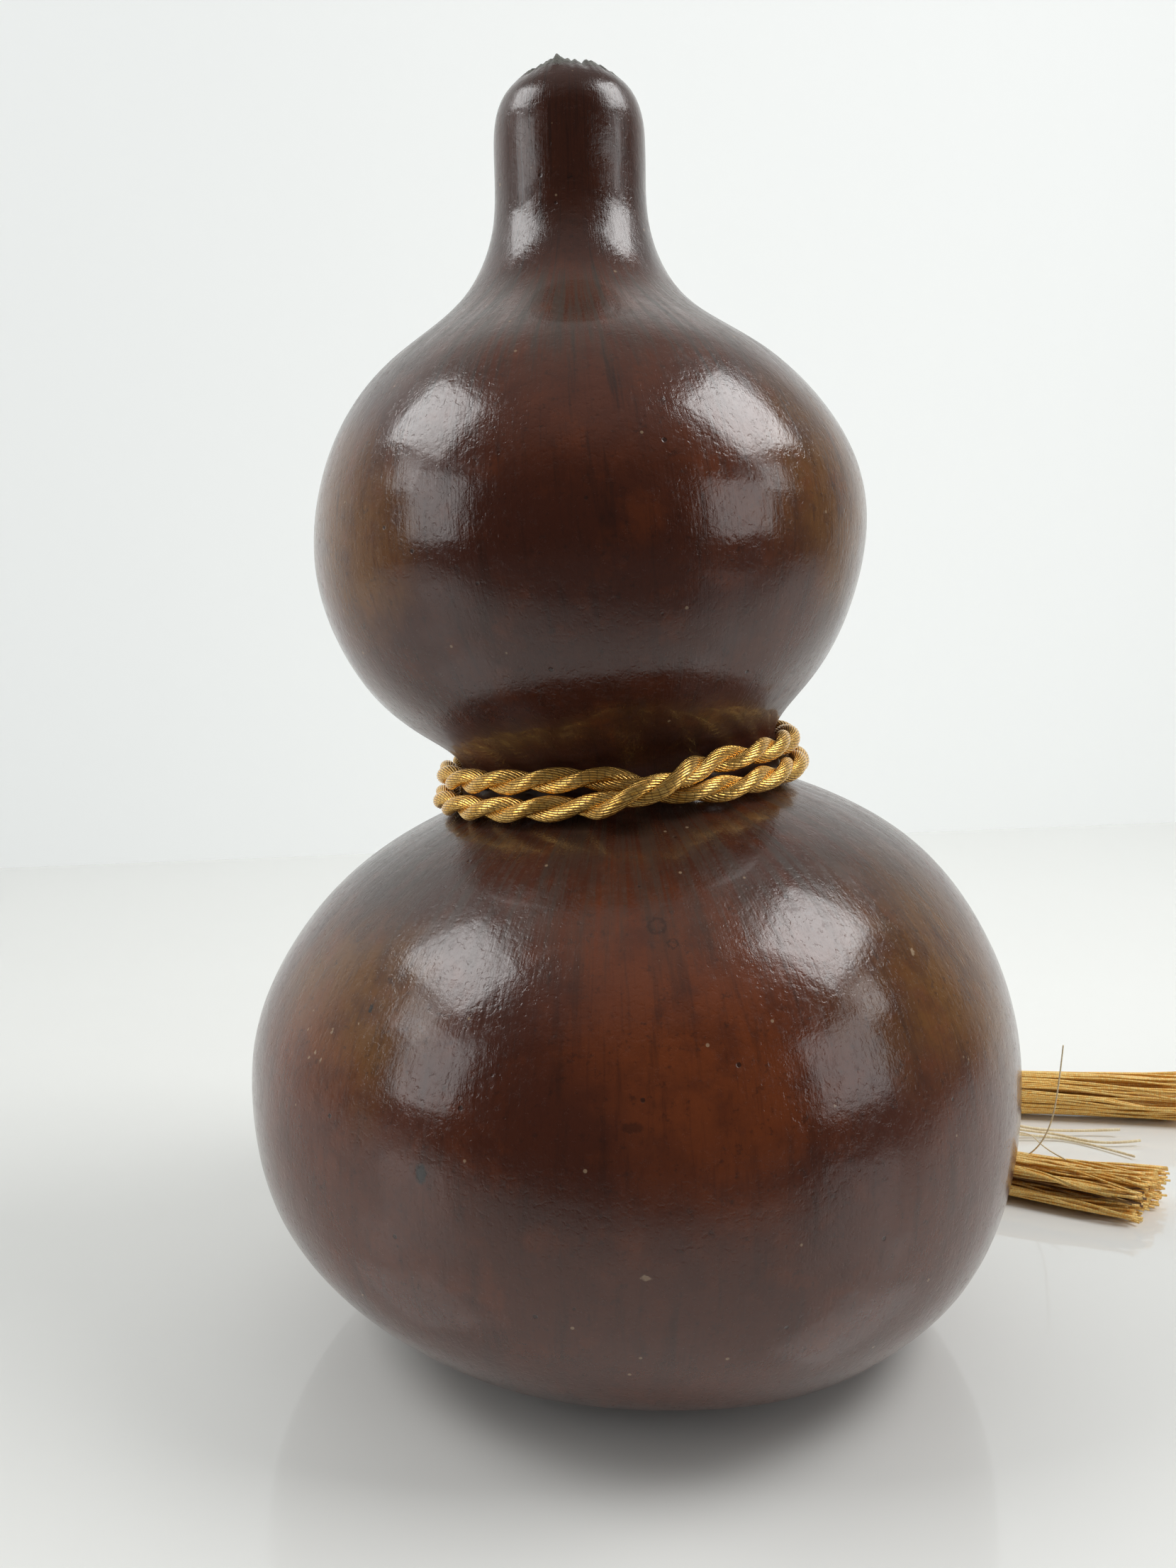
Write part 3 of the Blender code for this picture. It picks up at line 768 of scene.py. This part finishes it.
def make_skin():
    """The whole gourd as one closed skin with the values its finish reads."""
    sections = skin_sections()
    direction = np.arange(SKIN_SIDES) * 2 * math.pi / SKIN_SIDES
    distance = sections[:, 0][:, None] + sections[:, 2][:, None] * lip_height(direction)[None, :]
    radius = sections[:, 1][:, None] + 0 * distance
    turn = direction[None, :] + 0 * distance
    plain = gourd_point(distance, radius, turn)
    standing = np.clip((plain[..., 2] - 1.5) / 4, 0, 1)
    lumps = 2.0 * soft_lumps(plain, 7, 26, 26, 60) + 0.10 * soft_lumps(plain, 8, 20, 5, 9)
    outside = sections[:, 3][:, None] * standing
    radius = radius + LUMP_HEIGHT * lumps * outside
    rings = gourd_point(distance, radius, turn)
    fibre = np.stack([FIBRE_RADIUS * np.cos(turn), FIBRE_RADIUS * np.sin(turn), distance], axis=-1)
    inner = 1 - sections[:, 3][:, None] + 0 * distance
    return tubes_mesh("gourd_skin", rings[None], {"fibre": fibre[None], "inner": inner[None]})


gourd = make_skin()
print("gourd", triangles(gourd), "triangles")

# %% [markdown]
# ## Building a finish from nodes
# A finish is a small machine of nodes. Writing every link by hand hides the idea, so this
# helper adds one step at a time and hands back the value that the next step uses: a noise,
# a mix of two colours, a soft step between two values, a spot round a place on the skin.

# %% Node helper
class Finish:
    """A material, or the sky, that is built one step at a time."""

    def __init__(self, owner, last="Principled BSDF"):
        self.owner = owner
        owner.use_nodes = True
        self.tree = owner.node_tree
        self.last = self.tree.nodes[last]

    def give(self, **inputs):
        """Give the last node its inputs; in their names _ stands for a space."""
        for key, value in inputs.items():
            self.put(self.last.inputs[key.replace("_", " ")], value)

    def put(self, socket, value):
        """Give an input a number, a colour or another step's result."""
        if isinstance(value, bpy.types.NodeSocket):
            self.tree.links.new(value, socket)
        elif isinstance(value, (tuple, list)) and len(value) == 3 and socket.type == "RGBA":
            socket.default_value = (*value, 1.0)
        else:
            socket.default_value = value

    def step(self, kind, inputs, output=0, **settings):
        """Add a node, fill its inputs and return one of its outputs."""
        node = self.tree.nodes.new(kind)
        for key, value in settings.items():
            setattr(node, key, value)
        for key, value in inputs.items():
            self.put(node.inputs[key], value)
        return node.outputs[output]

    def place(self):
        """The point's own place on the object, in metres."""
        return self.step("ShaderNodeTexCoord", {}, "Object")

    def stored(self, name, output="Fac"):
        """A value that was stored in the mesh."""
        return self.step("ShaderNodeAttribute", {}, output, attribute_name=name)

    def math(self, operation, a, b=0.0):
        """Arithmetic on one number or two."""
        return self.step("ShaderNodeMath", {0: a, 1: b}, operation=operation)

    def times(self, a, b):
        """The product of two numbers."""
        return self.math("MULTIPLY", a, b)

    def plus(self, a, b):
        """The sum of two numbers."""
        return self.math("ADD", a, b)

    def vector(self, operation, a, b, output=0):
        """Arithmetic on two vectors."""
        return self.step("ShaderNodeVectorMath", {0: a, 1: b}, output, operation=operation)

    def axis(self, vector, letter):
        """One of the three numbers of a vector."""
        return self.step("ShaderNodeSeparateXYZ", {0: vector}, letter)

    def stretched(self, vector, scale):
        """A vector with each axis multiplied."""
        return self.vector("MULTIPLY", vector, scale)

    def ruffled(self, vector, noise, reach):
        """Places moved about by a coloured noise, by up to half of reach, in metres."""
        shift = self.vector("SUBTRACT", noise, (0.5, 0.5, 0.5))
        return self.vector("ADD", vector, self.stretched(shift, (reach, reach, reach)))

    def noise(self, vector, scale, detail=3.0, roughness=0.5, output="Fac"):
        """Smooth noise between about 0.2 and 0.8."""
        inputs = {"Vector": vector, "Scale": scale, "Detail": detail, "Roughness": roughness}
        return self.step("ShaderNodeTexNoise", inputs, output)

    def dots(self, vector, scale, inner, outer):
        """1 at many scattered points, fading to 0 between the inner and the outer distance."""
        reach = self.step("ShaderNodeTexVoronoi", {"Vector": vector, "Scale": scale}, "Distance")
        return self.between(reach, inner, outer, 1.0, 0.0)

    def between(self, value, low, high, to_low=0.0, to_high=1.0):
        """A soft step: to_low below low, to_high above high."""
        inputs = {"Value": value, "From Min": low, "From Max": high, "To Min": to_low, "To Max": to_high}
        return self.step("ShaderNodeMapRange", inputs, interpolation_type="SMOOTHSTEP")

    def band(self, value, rise_start, rise_end, fall_start, fall_end):
        """1 over a stretch of values, with a soft rise before it and a soft fall after it."""
        rise = self.between(value, rise_start, rise_end)
        return self.times(rise, self.between(value, fall_start, fall_end, 1.0, 0.0))

    def mix(self, share, first, second):
        """A mix of two colours."""
        node = self.tree.nodes.new("ShaderNodeMix")
        node.data_type = "RGBA"
        self.put(node.inputs["Factor"], share)
        self.put(node.inputs[6], first)
        self.put(node.inputs[7], second)
        return node.outputs[2]

    def spot(self, vector, centre, across, up, edge):
        """1 inside an oval round a place, fading to 0 over its edge; half sizes in mm."""
        inputs = {"Vector": vector, "Location": centre, "Scale": (across * MM, across * MM, up * MM)}
        local = self.step("ShaderNodeMapping", inputs, vector_type="TEXTURE")
        reach = self.step("ShaderNodeVectorMath", {0: local}, "Value", operation="LENGTH")
        return self.between(reach, 1 - edge, 1 + edge, 1.0, 0.0)

    def bump(self, height, strength, distance):
        """Tilt the surface by a height; distance is how high 1 stands, in metres."""
        return self.step("ShaderNodeBump", {"Height": height, "Strength": strength, "Distance": distance})


# %% [markdown]
# ## The gourd's finish
# The skin was dyed and lacquered over the mottling that a gourd gets while it dries: amber
# where it lay against something, red and orange where the dye took, near black where mould
# marked it. Fibres run from the stem to the foot and catch the dye as fine streaks, most of
# all round the base of the neck, where a grey green haze lies over them. Over it all is a
# clear lacquer, smooth but with the skin's leathery grain under it. So the colour is mixed
# in layers, from the largest patches to the smallest specks, then comes the gloss, then the
# grain as bump. The patches are soft ovals at places of their own, written as a distance
# along the axis and a direction, and a noise warps them so that no oval can be seen.

# %% Colours of the skin
MAROON = (0.060, 0.016, 0.008)
RED_BROWN = (0.100, 0.026, 0.011)
ORANGE_RED = (0.180, 0.042, 0.011)
AMBER = (0.175, 0.072, 0.014)
DARK_BROWN = (0.028, 0.011, 0.007)
HAZE = (0.054, 0.046, 0.033)
PALE = (0.42, 0.30, 0.19)
LIP_GREY = (0.150, 0.145, 0.122)
LIP_DARK = (0.050, 0.046, 0.038)
CHIP = (0.016, 0.015, 0.013)
INSIDE_TAN = (0.16, 0.10, 0.055)

# Large patches: (distance along the axis, direction, half width, half height, colour, strength)
PATCHES = [
    (145, 267, 30, 16, MAROON, 0.75), (176, 268, 20, 13, RED_BROWN, 0.9),
    (160, 300, 11, 13, ORANGE_RED, 0.45), (158, 216, 17, 17, AMBER, 0.85),
    (157, 326, 17, 19, AMBER, 0.85), (60, 258, 12, 30, MAROON, 0.7),
    (82, 278, 22, 17, ORANGE_RED, 0.6), (70, 281, 16, 16, ORANGE_RED, 0.5), (76, 221, 19, 16, AMBER, 0.9),
    (62, 217, 15, 13, ORANGE_RED, 0.6), (76, 322, 22, 20, AMBER, 0.95), (50, 312, 22, 18, RED_BROWN, 0.8),
    (46, 228, 24, 14, RED_BROWN, 0.7), (98, 205, 22, 9, DARK_BROWN, 0.55),
    (120, 275, 26, 7, DARK_BROWN, 0.5),
    (30, 262, 34, 15, RED_BROWN, 0.6), (60, 20, 24, 28, MAROON, 0.7), (74, 62, 26, 22, ORANGE_RED, 0.7),
    (56, 104, 22, 22, AMBER, 0.6), (76, 150, 26, 24, RED_BROWN, 0.8), (154, 30, 20, 16, MAROON, 0.7),
    (160, 84, 20, 18, ORANGE_RED, 0.6), (152, 128, 18, 20, AMBER, 0.7), (168, 172, 18, 14, RED_BROWN, 0.7),
]
# Small marks, written in the same way: pale scars, dark chips and one pin hole in the neck
MARKS = [
    (81.2, 314.0, 0.45, 1.1, PALE, 0.75), (54.7, 242.5, 1.0, 1.5, CHIP, 0.95),
    (77.6, 229.3, 0.35, 1.3, CHIP, 0.85), (75.0, 228.0, 0.3, 0.3, PALE, 0.7),
    (67.8, 222.5, 0.3, 0.5, PALE, 0.7), (68.4, 220.8, 0.25, 0.35, PALE, 0.7),
    (67.2, 219.6, 0.3, 0.35, PALE, 0.7), (72.6, 223.0, 0.25, 0.4, PALE, 0.6),
    (71.4, 217.2, 0.2, 0.25, PALE, 0.7), (74.4, 216.6, 0.25, 0.25, PALE, 0.6),
    (42.0, 269.5, 0.8, 0.4, PALE, 0.5), (64.4, 268.0, 1.6, 0.8, DARK_BROWN, 0.5),
    (217.0, 269.0, 0.5, 0.5, DARK_BROWN, 0.95),
]
# Rings of old pimples, each a thin dark circle: (distance, direction, radius in mm)
PIMPLES = [(90.4, 273.0, 1.3), (88.0, 275.0, 0.8), (63.0, 301.0, 0.7)]
# Stretches along the axis: where each starts to show, is full, starts to fade and is gone
NECK_HAZE = (172.0, 190.0, 196.0, 204.0)
WAIST_HAZE = (80.0, 97.0, 104.0, 112.0)
UNDER_BULB = (104.0, 112.0, 116.0, 130.0)
# The skin gets more streaks towards the neck, and the neck itself is darker
NECK_STREAKS = (150.0, 185.0)
DARK_NECK = (198.0, 206.0)
print(len(PATCHES), "patches,", len(MARKS), "marks and", len(PIMPLES), "rings")


# %% Painting patches on the skin
def skin_place(distance, degrees):
    """A place on the skin in metres, as a node takes it."""
    return tuple(float(c) for c in on_skin(distance, degrees) * MM)


def paint_patches(skin, colour, places, patches, edge):
    """Lay soft ovals of other colours over a colour."""
    for distance, degrees, across, up, tint, strength in patches:
        spot = skin.spot(places, skin_place(distance, degrees), across, up, edge)
        colour = skin.mix(skin.times(spot, strength), colour, tint)
    return colour


# %% Mixing the large patches
skin = Finish(bpy.data.materials.new("gourd_lacquer"))
place = skin.place()
warped = skin.ruffled(place, skin.noise(place, 70.0, 3.0, 0.6, "Color"), 0.022)
broad = skin.noise(warped, 26.0, 3.0, 0.55)
colour = skin.mix(skin.between(broad, 0.36, 0.66), MAROON, RED_BROWN)
colour = paint_patches(skin, colour, warped, PATCHES, 0.55)
print("large patches mixed with", len(skin.tree.nodes), "nodes")

# %% [markdown]
# ### Mottling and streaks
# Between the patches the dye took unevenly at every scale, which three noises of different
# sizes give. The fibres are noise too, stretched ten times and more along the stem's axis.
# Their places come from the value "fibre" in the mesh, which lays the skin on an even
# cylinder. So the streaks run from stem to foot, draw together where the gourd is narrow and
# never show a join.

# %% Mottling and streaks
mottle = skin.noise(place, 150.0, 5.0, 0.62)
colour = skin.mix(skin.between(mottle, 0.44, 0.70, 0.0, 0.55), colour, MAROON)
light_mottle = skin.noise(skin.vector("ADD", place, (0.3, 0.1, 0.2)), 120.0, 5.0, 0.62)
colour = skin.mix(skin.between(light_mottle, 0.50, 0.74, 0.0, 0.40), colour, ORANGE_RED)
fleck = skin.noise(place, 620.0, 4.0, 0.7)
colour = skin.mix(skin.between(fleck, 0.56, 0.70, 0.0, 0.50), colour, DARK_BROWN)

fibre = skin.stored("fibre", "Vector")
along = skin.axis(fibre, "Z")
streak = skin.noise(skin.stretched(fibre, (1.0, 1.0, 0.10)), 0.55, 4.0, 0.65)
fine_streak = skin.noise(skin.stretched(fibre, (1.0, 1.0, 0.06)), 1.9, 3.0, 0.6)
by_neck = skin.between(along, *NECK_STREAKS, 0.42, 0.85)
colour = skin.mix(skin.times(skin.between(streak, 0.50, 0.72), by_neck), colour, DARK_BROWN)
colour = skin.mix(skin.between(fine_streak, 0.54, 0.72, 0.0, 0.35), colour, MAROON)

waist_haze = skin.times(skin.band(along, *WAIST_HAZE), 0.8)
haze = skin.math("MAXIMUM", skin.band(along, *NECK_HAZE), waist_haze)
haze = skin.times(haze, skin.between(streak, 0.36, 0.62, 0.15, 0.60))
colour = skin.mix(haze, colour, HAZE)
colour = skin.mix(skin.between(along, *DARK_NECK, 0.0, 0.55), colour, DARK_BROWN)
print("with streaks", len(skin.tree.nodes), "nodes")

# %% [markdown]
# ### Specks, scars and the broken lip
# Specks and pits are scattered everywhere, so they come from a pattern of random points. The
# scars, chips and rings are at places of their own, and their edges are ruffled a little,
# because a perfect oval looks printed on. The break at the lip shows grey, dusty flesh.

# %% Specks, scars and the broken lip
speck = skin.dots(place, 150.0, 0.035, 0.055)
pit = skin.dots(skin.vector("ADD", place, (0.7, 0.2, 0.4)), 120.0, 0.035, 0.060)
colour = skin.mix(skin.times(speck, 0.55), colour, PALE)
colour = skin.mix(skin.times(pit, 0.85), colour, DARK_BROWN)

worn = skin.ruffled(place, skin.noise(place, 1500.0, 2.0, 0.5, "Color"), 0.0012)
colour = paint_patches(skin, colour, worn, MARKS, 0.35)
for distance, degrees, radius in PIMPLES:
    reach = skin.vector("DISTANCE", worn, skin_place(distance, degrees), "Value")
    from_ring = skin.math("SUBTRACT", skin.math("DIVIDE", reach, radius * MM), 1.0)
    ring = skin.between(skin.math("ABSOLUTE", from_ring), 0.05, 0.35, 1.0, 0.0)
    colour = skin.mix(skin.times(ring, 0.5), colour, DARK_BROWN)

lip_grain = skin.noise(place, 900.0, 4.0, 0.7)
raised = skin.plus(along, skin.times(lip_grain, 3.0))
lip = skin.between(raised, LIP_DISTANCE - 0.4, LIP_DISTANCE + 1.0)
colour = skin.mix(lip, colour, skin.mix(skin.between(lip_grain, 0.30, 0.60), LIP_DARK, LIP_GREY))
inside = skin.stored("inner")
colour = skin.mix(inside, colour, INSIDE_TAN)
print("with marks", len(skin.tree.nodes), "nodes")

# %% [markdown]
# ### Gloss and grain
# A highlight on lacquer is read more closely than its colour. Its roughness changes softly
# from place to place and has a fine pepper of duller grains. It is duller still where the
# haze lies, under the upper bulb, on the broken lip and inside. A thin second coat on top
# keeps a sharp spark in the middle of each highlight. The leathery grain, the dimples and
# the pits are bump, because they are finer than any mesh of this size.

# %% Gloss and grain
gloss = skin.between(skin.noise(place, 190.0, 4.0, 0.6), 0.35, 0.70, 0.13, 0.20)
pepper = skin.between(skin.noise(place, 800.0, 4.0, 0.75), 0.50, 0.68)
gloss = skin.plus(gloss, skin.times(pepper, 0.14))
gloss = skin.math("MAXIMUM", gloss, skin.times(lip, 0.8))
gloss = skin.math("MAXIMUM", gloss, skin.times(inside, 0.85))
gloss = skin.plus(gloss, skin.times(haze, 0.30))
gloss = skin.plus(gloss, skin.times(skin.band(along, *UNDER_BULB), 0.30))

leather = skin.noise(place, 330.0, 3.0, 0.5)
grain = skin.noise(place, 1500.0, 3.0, 0.6)
dimple = skin.between(skin.noise(place, 1100.0, 2.0, 0.5), 0.54, 0.74)
height = skin.plus(leather, skin.times(grain, 0.38))
height = skin.math("SUBTRACT", height, skin.times(dimple, 0.26))
height = skin.plus(height, skin.times(fine_streak, 0.35))
height = skin.math("SUBTRACT", height, skin.times(pit, 0.7))
height = skin.plus(height, skin.times(skin.times(lip, lip_grain), 6.0))
skin.give(Base_Color=colour, Roughness=gloss, Normal=skin.bump(height, 0.55, 0.00016))
skin.give(IOR=1.48, Coat_Weight=0.25, Coat_Roughness=0.07)
gourd.data.materials.append(skin.owner)
print("the whole skin", len(skin.tree.nodes), "nodes")

# %% [markdown]
# ## The gold threads' finish
# The thread is a flat strip of gold film wound round a yellow core. Each turn of the film
# bulges a little and has a dark seam on either side, so a highlight that runs along a thread
# breaks up into short bright dashes. The grooves between threads, the sunk threads of a
# parting and the core under a tassel's head are painted dark brown as painted shade, on top
# of the shade of their real shape. The metal share is only part of it: a cord is also seen
# by light that has bounced about between its threads, which looks like a warm matt colour.

# %% Finish of the gold threads
GOLD = (0.96, 0.52, 0.10)
GOLD_PALE = (1.0, 0.74, 0.27)
GOLD_DEEP = (0.46, 0.19, 0.028)
CREAM = (0.85, 0.68, 0.40)
CREAM_PALE = (0.96, 0.84, 0.58)
# Dark brown of the seams between film turns, and of the painted shade in grooves and recesses
SEAM_AND_GROOVE_SHADE = (0.120, 0.044, 0.010)


def make_gold_finish(name, turn_length, metal, gloss, pale, seam_strength, tints=(GOLD, GOLD_PALE)):
    """Gold thread: film wound round a core in turns of a given length in mm."""
    gold = Finish(bpy.data.materials.new(name))
    lay = gold.stored("lay", "Vector")
    tone = gold.stored("tone")
    recess_shade = gold.stored("recess_shade")
    turns = gold.times(gold.axis(lay, "Z"), 1 / turn_length)
    turns = gold.plus(turns, gold.times(tone, 17.0))
    from_middle = gold.math("ABSOLUTE", gold.math("SUBTRACT", gold.math("FRACT", turns), 0.5))
    seam = gold.between(from_middle, 0.36, 0.47)
    pair = gold.step("ShaderNodeCombineXYZ", {0: gold.math("FLOOR", turns), 1: gold.times(tone, 91.0)})
    luck = gold.step("ShaderNodeTexWhiteNoise", {"Vector": pair}, "Value", noise_dimensions="2D")
    slow = gold.noise(gold.stretched(lay, (1.0, 1.0, 0.12)), 1.3, 2.0, 0.5)
    colour = gold.mix(gold.times(luck, pale), *tints)
    colour = gold.mix(gold.between(slow, 0.45, 0.75, 0.0, 0.30), colour, GOLD_DEEP)
    colour = gold.mix(gold.times(seam, seam_strength), colour, SEAM_AND_GROOVE_SHADE)
    # Painted shade: dark brown where a point lies deep in a groove, among sunk threads or on a tassel's core
    colour = gold.mix(gold.between(recess_shade, 0.25, 0.95, 0.0, 0.96), colour, SEAM_AND_GROOVE_SHADE)
    bulge = gold.times(gold.times(from_middle, from_middle), -4.0)
    bulge = gold.plus(bulge, gold.times(luck, 0.4))
    gold.give(Base_Color=colour, Metallic=gold.between(recess_shade, 0.3, 0.9, metal, 0.1))
    gold.give(Roughness=gold.between(luck, 0.0, 1.0, gloss, gloss + 0.08))
    gold.give(Normal=gold.bump(bulge, 0.6, 0.000028))
    return gold.owner


cord_finish = make_gold_finish(
    "gold_cord_thread", turn_length=1.1, metal=0.86, gloss=0.17, pale=0.6, seam_strength=0.55)
thread_finish = make_gold_finish(
    "gold_tassel_thread", turn_length=0.6, metal=0.15, gloss=0.30, pale=1.0, seam_strength=0.22)
stray_finish = make_gold_finish(
    "gold_stray_thread", turn_length=0.7, metal=0.0, gloss=0.35, pale=1.0, seam_strength=0.12,
    tints=(CREAM, CREAM_PALE))
for piece in (*waist_plies, far_tail, near_tail, near_binding, far_binding):
    piece.data.materials.append(cord_finish)
for piece in (near_skirt, far_skirt, near_core, far_core):
    piece.data.materials.append(thread_finish)
for piece in strays:
    piece.data.materials.append(stray_finish)
print("gold finishes made")

# %% [markdown]
# ## What belongs to what
# Every piece is tied to the body and says which solid it stands for, so that the solid is
# hidden.

def dress(piece, slot, *nodes):
    """Tie a piece to the body and hide the solids that it replaces; slot is not used."""
    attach(piece, "root")
    if nodes:
        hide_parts(*nodes)


dress(gourd, "gourd_skin", "gourd")
for ply in waist_plies:
    dress(ply, "gold_cord", "waist_cord")
dress(far_tail, "gold_cord", "tail_far")
dress(near_tail, "gold_cord", "tail_near")
dress(near_skirt, "gold_threads", "tassel_near_threads")
dress(near_core, "gold_threads", "tassel_near_threads")
dress(far_skirt, "gold_threads", "tassel_far_threads")
dress(far_core, "gold_threads", "tassel_far_threads")
dress(near_binding, "gold_cord", "tassel_near_band")
dress(far_binding, "gold_cord", "tassel_far_band")
for piece in strays:
    dress(piece, "gold_threads")

# %% [markdown]
# ## The table, the back wall and the light
# The photograph's table is a glossy white sheet that meets a white wall in a faint line. Its
# mirror image of the gourd is weak and a little blurred. A large soft lamp stands at each
# side, a little above the gourd, and two dimmer ones under it, which give the paler stripe
# below each highlight. In front, where the photographer stands, the room is darker: that is
# why the middle of the gourd keeps its deep colour. The sky is painted by direction in the
# same way.

# %% Table and wall
TABLE_HALF = 2600.0
WALL_DISTANCE = 506.0
WALL_TURN = 12.4
WALL_HEIGHT = 1700.0


def make_sheet(name, profile, finish):
    """A long sheet with the given profile of places (back, up), turned a little to the right."""
    points = [(x * MM, y * MM, z * MM) for x in (-TABLE_HALF, TABLE_HALF) for y, z in profile]
    count = len(profile)
    faces = [(i, count + i, count + i + 1, i + 1) for i in range(count - 1)]
    mesh = bpy.data.meshes.new(name)
    mesh.from_pydata(points, [], faces)
    sheet = bpy.data.objects.new(name, mesh)
    sheet.rotation_euler = (0, 0, math.radians(WALL_TURN))
    bpy.context.collection.objects.link(sheet)
    mesh.materials.append(finish)
    return sheet


TABLE_WHITE = (0.89, 0.895, 0.865)
WALL_WHITE = (0.62, 0.63, 0.62)
# The wall also glows a little by itself: painted light that makes it brighter than the lamps alone would
WALL_PAINTED_GLOW = 0.40
# Towards the left both are a little darker, as if a curtain hung there, over this stretch in mm
LEFT_SHADE = (-330.0, 120.0)
LEFT_TABLE = (0.76, 0.765, 0.74)
LEFT_WALL = (0.50, 0.51, 0.505)
# The table darkens towards the viewer, who stands in its light, as (start, end) in mm
VIEWER_SHADE = (-95.0, -290.0)
SHADED_WHITE = (0.16, 0.16, 0.16)


def left_shaded(finish, left, right):
    """A white that changes from left to right over the shaded stretch."""
    across = finish.axis(finish.place(), "X")
    return finish.mix(finish.between(across, LEFT_SHADE[0] * MM, LEFT_SHADE[1] * MM), left, right)


table = Finish(bpy.data.materials.new("white_table"))
lit = table.between(table.axis(table.place(), "Y"), VIEWER_SHADE[1] * MM, VIEWER_SHADE[0] * MM)
table_white = left_shaded(table, LEFT_TABLE, TABLE_WHITE)
table.give(Base_Color=table.mix(lit, SHADED_WHITE, table_white), Roughness=0.06)
make_sheet("table", [(-TABLE_HALF, 0), (WALL_DISTANCE, 0)], table.owner)

wall = Finish(bpy.data.materials.new("white_wall"))
wall.give(Base_Color=left_shaded(wall, LEFT_WALL, WALL_WHITE), Roughness=0.9)
# The glow is painted light: the wall is no lamp
wall.give(Emission_Color=(0.97, 1.0, 0.99), Emission_Strength=WALL_PAINTED_GLOW)
make_sheet("wall", [(WALL_DISTANCE, 0), (WALL_DISTANCE, WALL_HEIGHT)], wall.owner)
print("table and wall, the wall", WALL_DISTANCE, "mm back")

# %% Lamps
# (name, direction from the front towards the right, elevation, width, height, strength)
LAMPS = [
    ("lamp_left", -83, 45, 500, 370, 6.2), ("lamp_left_low", -64, 16, 390, 450, 2.6),
    ("lamp_left_mid", -79, 26, 170, 190, 3.4), ("lamp_right_mid", 76, 27, 170, 190, 3.6),
    ("lamp_right", 84, 49, 500, 430, 7.4), ("lamp_right_low", 58, 14, 420, 450, 2.2),
]
LAMP_DISTANCE = 1000.0
LAMP_AIM = np.array([-5.0, 0.0, 110.0])


def make_lamp(name, degrees, elevation, width, height, radiance):
    """A soft rectangular lamp that faces the gourd; returns its power."""
    turn, rise = math.radians(degrees), math.radians(elevation)
    away = (math.sin(turn) * math.cos(rise), -math.cos(turn) * math.cos(rise), math.sin(rise))
    light = bpy.data.lights.new(name, "AREA")
    light.shape = "RECTANGLE"
    light.size = width * MM
    light.size_y = height * MM
    light.energy = radiance * math.pi * light.size * light.size_y
    lamp = bpy.data.objects.new(name, light)
    lamp.location = (LAMP_AIM + LAMP_DISTANCE * np.array(away)) * MM
    lamp.rotation_euler = Vector(away).to_track_quat("Z", "Y").to_euler()
    bpy.context.collection.objects.link(lamp)
    return light.energy


for row in LAMPS:
    print(row[0], round(make_lamp(*row), 2), "W")

# %% Sky
FRONT_SKY = (0.055, 0.055, 0.058)
SIDE_SKY = (0.17, 0.174, 0.174)
BACK_SKY = (0.60, 0.62, 0.61)
TOP_SKY = (0.34, 0.35, 0.35)


def paint_sky():
    """Light from all round: dark in front, brighter towards the back and the top."""
    world = bpy.data.worlds.new("sky")
    bpy.context.scene.world = world
    sky = Finish(world, "Background")
    direction = sky.step("ShaderNodeTexCoord", {}, "Generated")
    towards_back = sky.axis(direction, "Y")
    upwards = sky.axis(direction, "Z")
    tint = sky.mix(sky.between(towards_back, -0.80, -0.10), FRONT_SKY, SIDE_SKY)
    tint = sky.mix(sky.between(towards_back, 0.25, 0.70), tint, BACK_SKY)
    tint = sky.mix(sky.between(upwards, 0.55, 0.98), tint, TOP_SKY)
    sky.give(Color=tint, Strength=1.0)


paint_sky()
print("sky painted")
